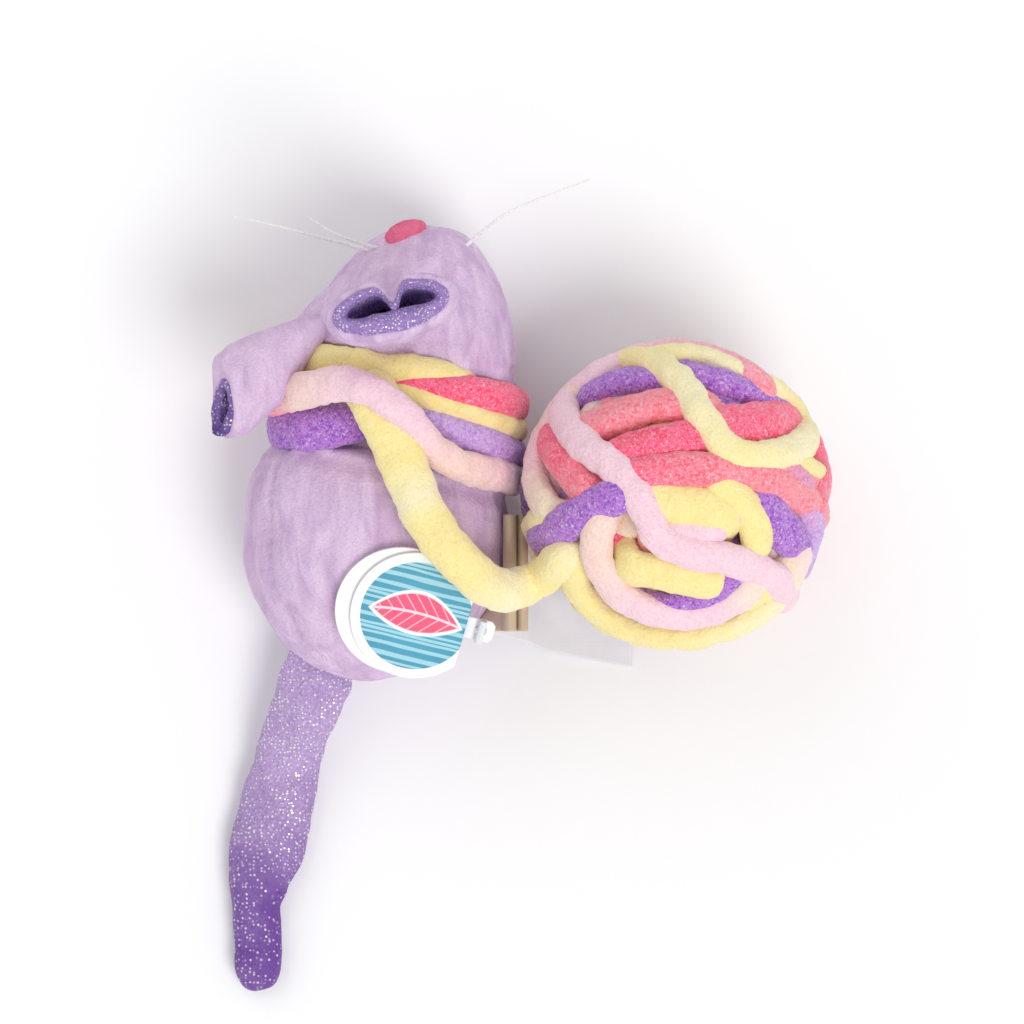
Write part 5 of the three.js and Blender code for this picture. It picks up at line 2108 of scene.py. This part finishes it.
@dataclass
class CareLabel:
    """The sewn-in label: short folded leaves that stand up, and a long page under the ball."""

    width: float = 22.0
    place: float = -5.25
    thick: float = 0.22
    clear: float = 0.6
    ripple: float = 0.35
    step: float = 0.5
    columns: int = 48
    leaves: tuple[LabelStrip, ...] = (
        LabelStrip("label_upper_loop", "label_leaf_upper", "folded", 18.5, 0.3, (
            (0, 0, 0), (0.1, 0, 2.0), (-0.1, 0, 4.6), (0.0, 0, 6.7), (1.0, 0, 7.8), (2.0, 0, 6.9),
            (2.2, 0, 4.6), (2.1, 0, 2.4),
        )),
        LabelStrip("label_lower_loop", "label_leaf_lower", "folded", 17.1, 0.3, (
            (0, 0, 0), (1.6, 0, -0.2), (2.5, 0, 0.9), (2.7, 0, 3.4), (2.7, 0, 5.5), (3.5, 0, 6.7),
            (4.4, 0, 5.8), (4.6, 0, 3.6), (4.4, 0, 1.6),
        )),
    )
    page: LabelStrip = LabelStrip("label_long_page", "label_page", "draped", 15.7, 0.2, (
        (0, 0, 0), (1.5, -0.55, -2.2), (3.1, -1.5, -6), (5.5, -2.8, -10.6), (8.9, -4.3, -13.9),
        (13, -5.2, -14.9), (18.5, -6.2, -15.1), (25, -7.3, -15.1),
    ))

    def flank(self, y: Array, level: float) -> Array:
        """How far out the body's right flank stands at places along it.

        Args:
            y: the places along the toy.
            level: the level over the ground.

        Returns:
            The distances out, in millimetres.
        """
        share = (y - BODY.start) / BODY.reach
        rise = math.asin((level - BODY.height / 2) / (BODY.height / 2))
        return BODY.at(share, np.full_like(share, rise))[:, 0]

    def laid(self, strip: LabelStrip, tape: bpy.types.Material) -> None:
        """Args:
            strip: the strip.
            tape: its finish.
        """
        route = smooth_route(strip.course, self.step)
        last = len(route) - 1

        def place(u: Array, v: Array) -> Array:
            """The strip's point at its shares across and along.

            Args:
                u, v: the shares across and along.

            Returns:
                The points in millimetres.
            """
            i = np.rint(v * last).astype(int)
            y = self.place + self.width * (u - 0.5)
            level = strip.seam_level
            near = np.clip(1 - v * 3, 0, 1)
            root = self.flank(y, level) * near + self.flank(np.full_like(y, self.place), level) * (1 - near)
            bow = strip.curl * (2 * u - 1) ** 2 * v + self.ripple * np.sin(u * 7 + v * 5) * v
            out, along, rise = route[i].T
            return np.column_stack([root + self.clear + out, y + along, level + rise + bow])

        bench = Bench(strip.name)
        bench.laid(self.columns, last, place)
        leaf = bench.piece(closed=False)
        thick = leaf.modifiers.new("tape", "SOLIDIFY")
        thick.thickness = self.thick * MM
        thick.offset = 0
        dressed(leaf, tape, "satin_tape", "mouse", strip.node)
        self.width * MM

    def build(self, wardrobe: Wardrobe) -> None:
        """Builds the leaves and the page.

        Args:
            wardrobe: the finishes.
        """
        for leaf in self.leaves:
            self.laid(leaf, wardrobe.shaded_tape)
        self.laid(self.page, wardrobe.white_tape)


# Studio


@dataclass(frozen=True)
class Lamp:
    """A distant lamp: its strength, how wide it looks, and its tilt and turn, in degrees."""

    name: str
    strength: float
    spread: float
    tilt: float
    turn: float

    def hang(self) -> None:
        """Hangs the lamp over the toy."""
        lamp = bpy.data.lights.new(self.name, "SUN")
        lamp.energy = self.strength
        lamp.angle = math.radians(self.spread)
        turn = Matrix.Rotation(math.radians(self.turn), 3, "Z")
        tilt = Matrix.Rotation(math.radians(self.tilt), 3, "X")
        made = bpy.data.objects.new(self.name, lamp)
        made.rotation_euler = (turn @ tilt).to_euler()
        bpy.context.scene.collection.objects.link(made)


@dataclass
class Studio:
    """The camera, the pale floor and soft light."""

    look_at: Triple = (23.9, 6.2, 25.0)
    distance: float = 1200.0
    across: float = 192.8
    sensor: float = 36.0
    floor_drop: float = 0.4
    floor_half: float = 3000.0
    lamps: tuple[Lamp, ...] = (Lamp("key", 1.45, 30, 34, 38), Lamp("fill", 0.4, 50, 48, 215))
    surround: float = 0.64

    def camera(self) -> None:
        """Sets the camera straight above the toy."""
        data = bpy.data.cameras.new("camera")
        data.sensor_width = self.sensor
        data.lens = self.sensor * self.distance / self.across
        data.clip_start, data.clip_end = 0.05, 20
        x, y, z = self.look_at
        view = bpy.data.objects.new("camera", data)
        view.location = (x * MM, y * MM, (z + self.distance) * MM)
        bpy.context.scene.collection.objects.link(view)
        bpy.context.scene.camera = view

    def floor(self) -> None:
        """Lays the floor."""
        bench = Bench("floor")
        bmesh.ops.create_grid(bench.bm, x_segments=4, y_segments=4, size=self.floor_half * MM)
        bmesh.ops.translate(bench.bm, verts=bench.bm.verts, vec=(0, 0, -self.floor_drop * MM))
        floor = bench.piece(closed=False)
        r = Recipe("floor_paper")
        speck = r.grain(r.place(), 3, 2.0)
        base = r.blend(speck * 0.15, tone(247, 247, 248), tone(240, 240, 242))
        floor.data.materials.append(r.coat({"Base Color": base, "Roughness": 0.9, "Specular IOR Level": 0.1}))

    def light(self) -> None:
        """Hangs the lamps in an even surround."""
        for lamp in self.lamps:
            lamp.hang()
        world = bpy.data.worlds.new("surround")
        world.use_nodes = True
        sky = world.node_tree.nodes["Background"].inputs
        sky["Color"].default_value = (1, 1, 1, 1)
        sky["Strength"].default_value = self.surround
        bpy.context.scene.world = world
        bpy.context.scene.view_settings.view_transform = "Standard"

    def build(self) -> None:
        """Sets up the whole studio."""
        self.camera()
        self.floor()
        self.light()


def main() -> None:
    """Builds the studio and then the toy, the strand first."""
    logging.basicConfig(level=logging.INFO, format="%(message)s")
    wardrobe = Wardrobe.filled()
    Studio().build()
    pieces = (
        FreeStrand(), BODY_COVER, Pouch(), HEAD_COVER, Nose(), *WHISKERS, LEFT_EAR, RIGHT_EAR, Tail(),
        NeckWrap(), YarnBall(), HangTag(), CareLabel(),
    )
    for piece in pieces:
        piece.build(wardrobe)


if __name__ == "__main__":
    main()
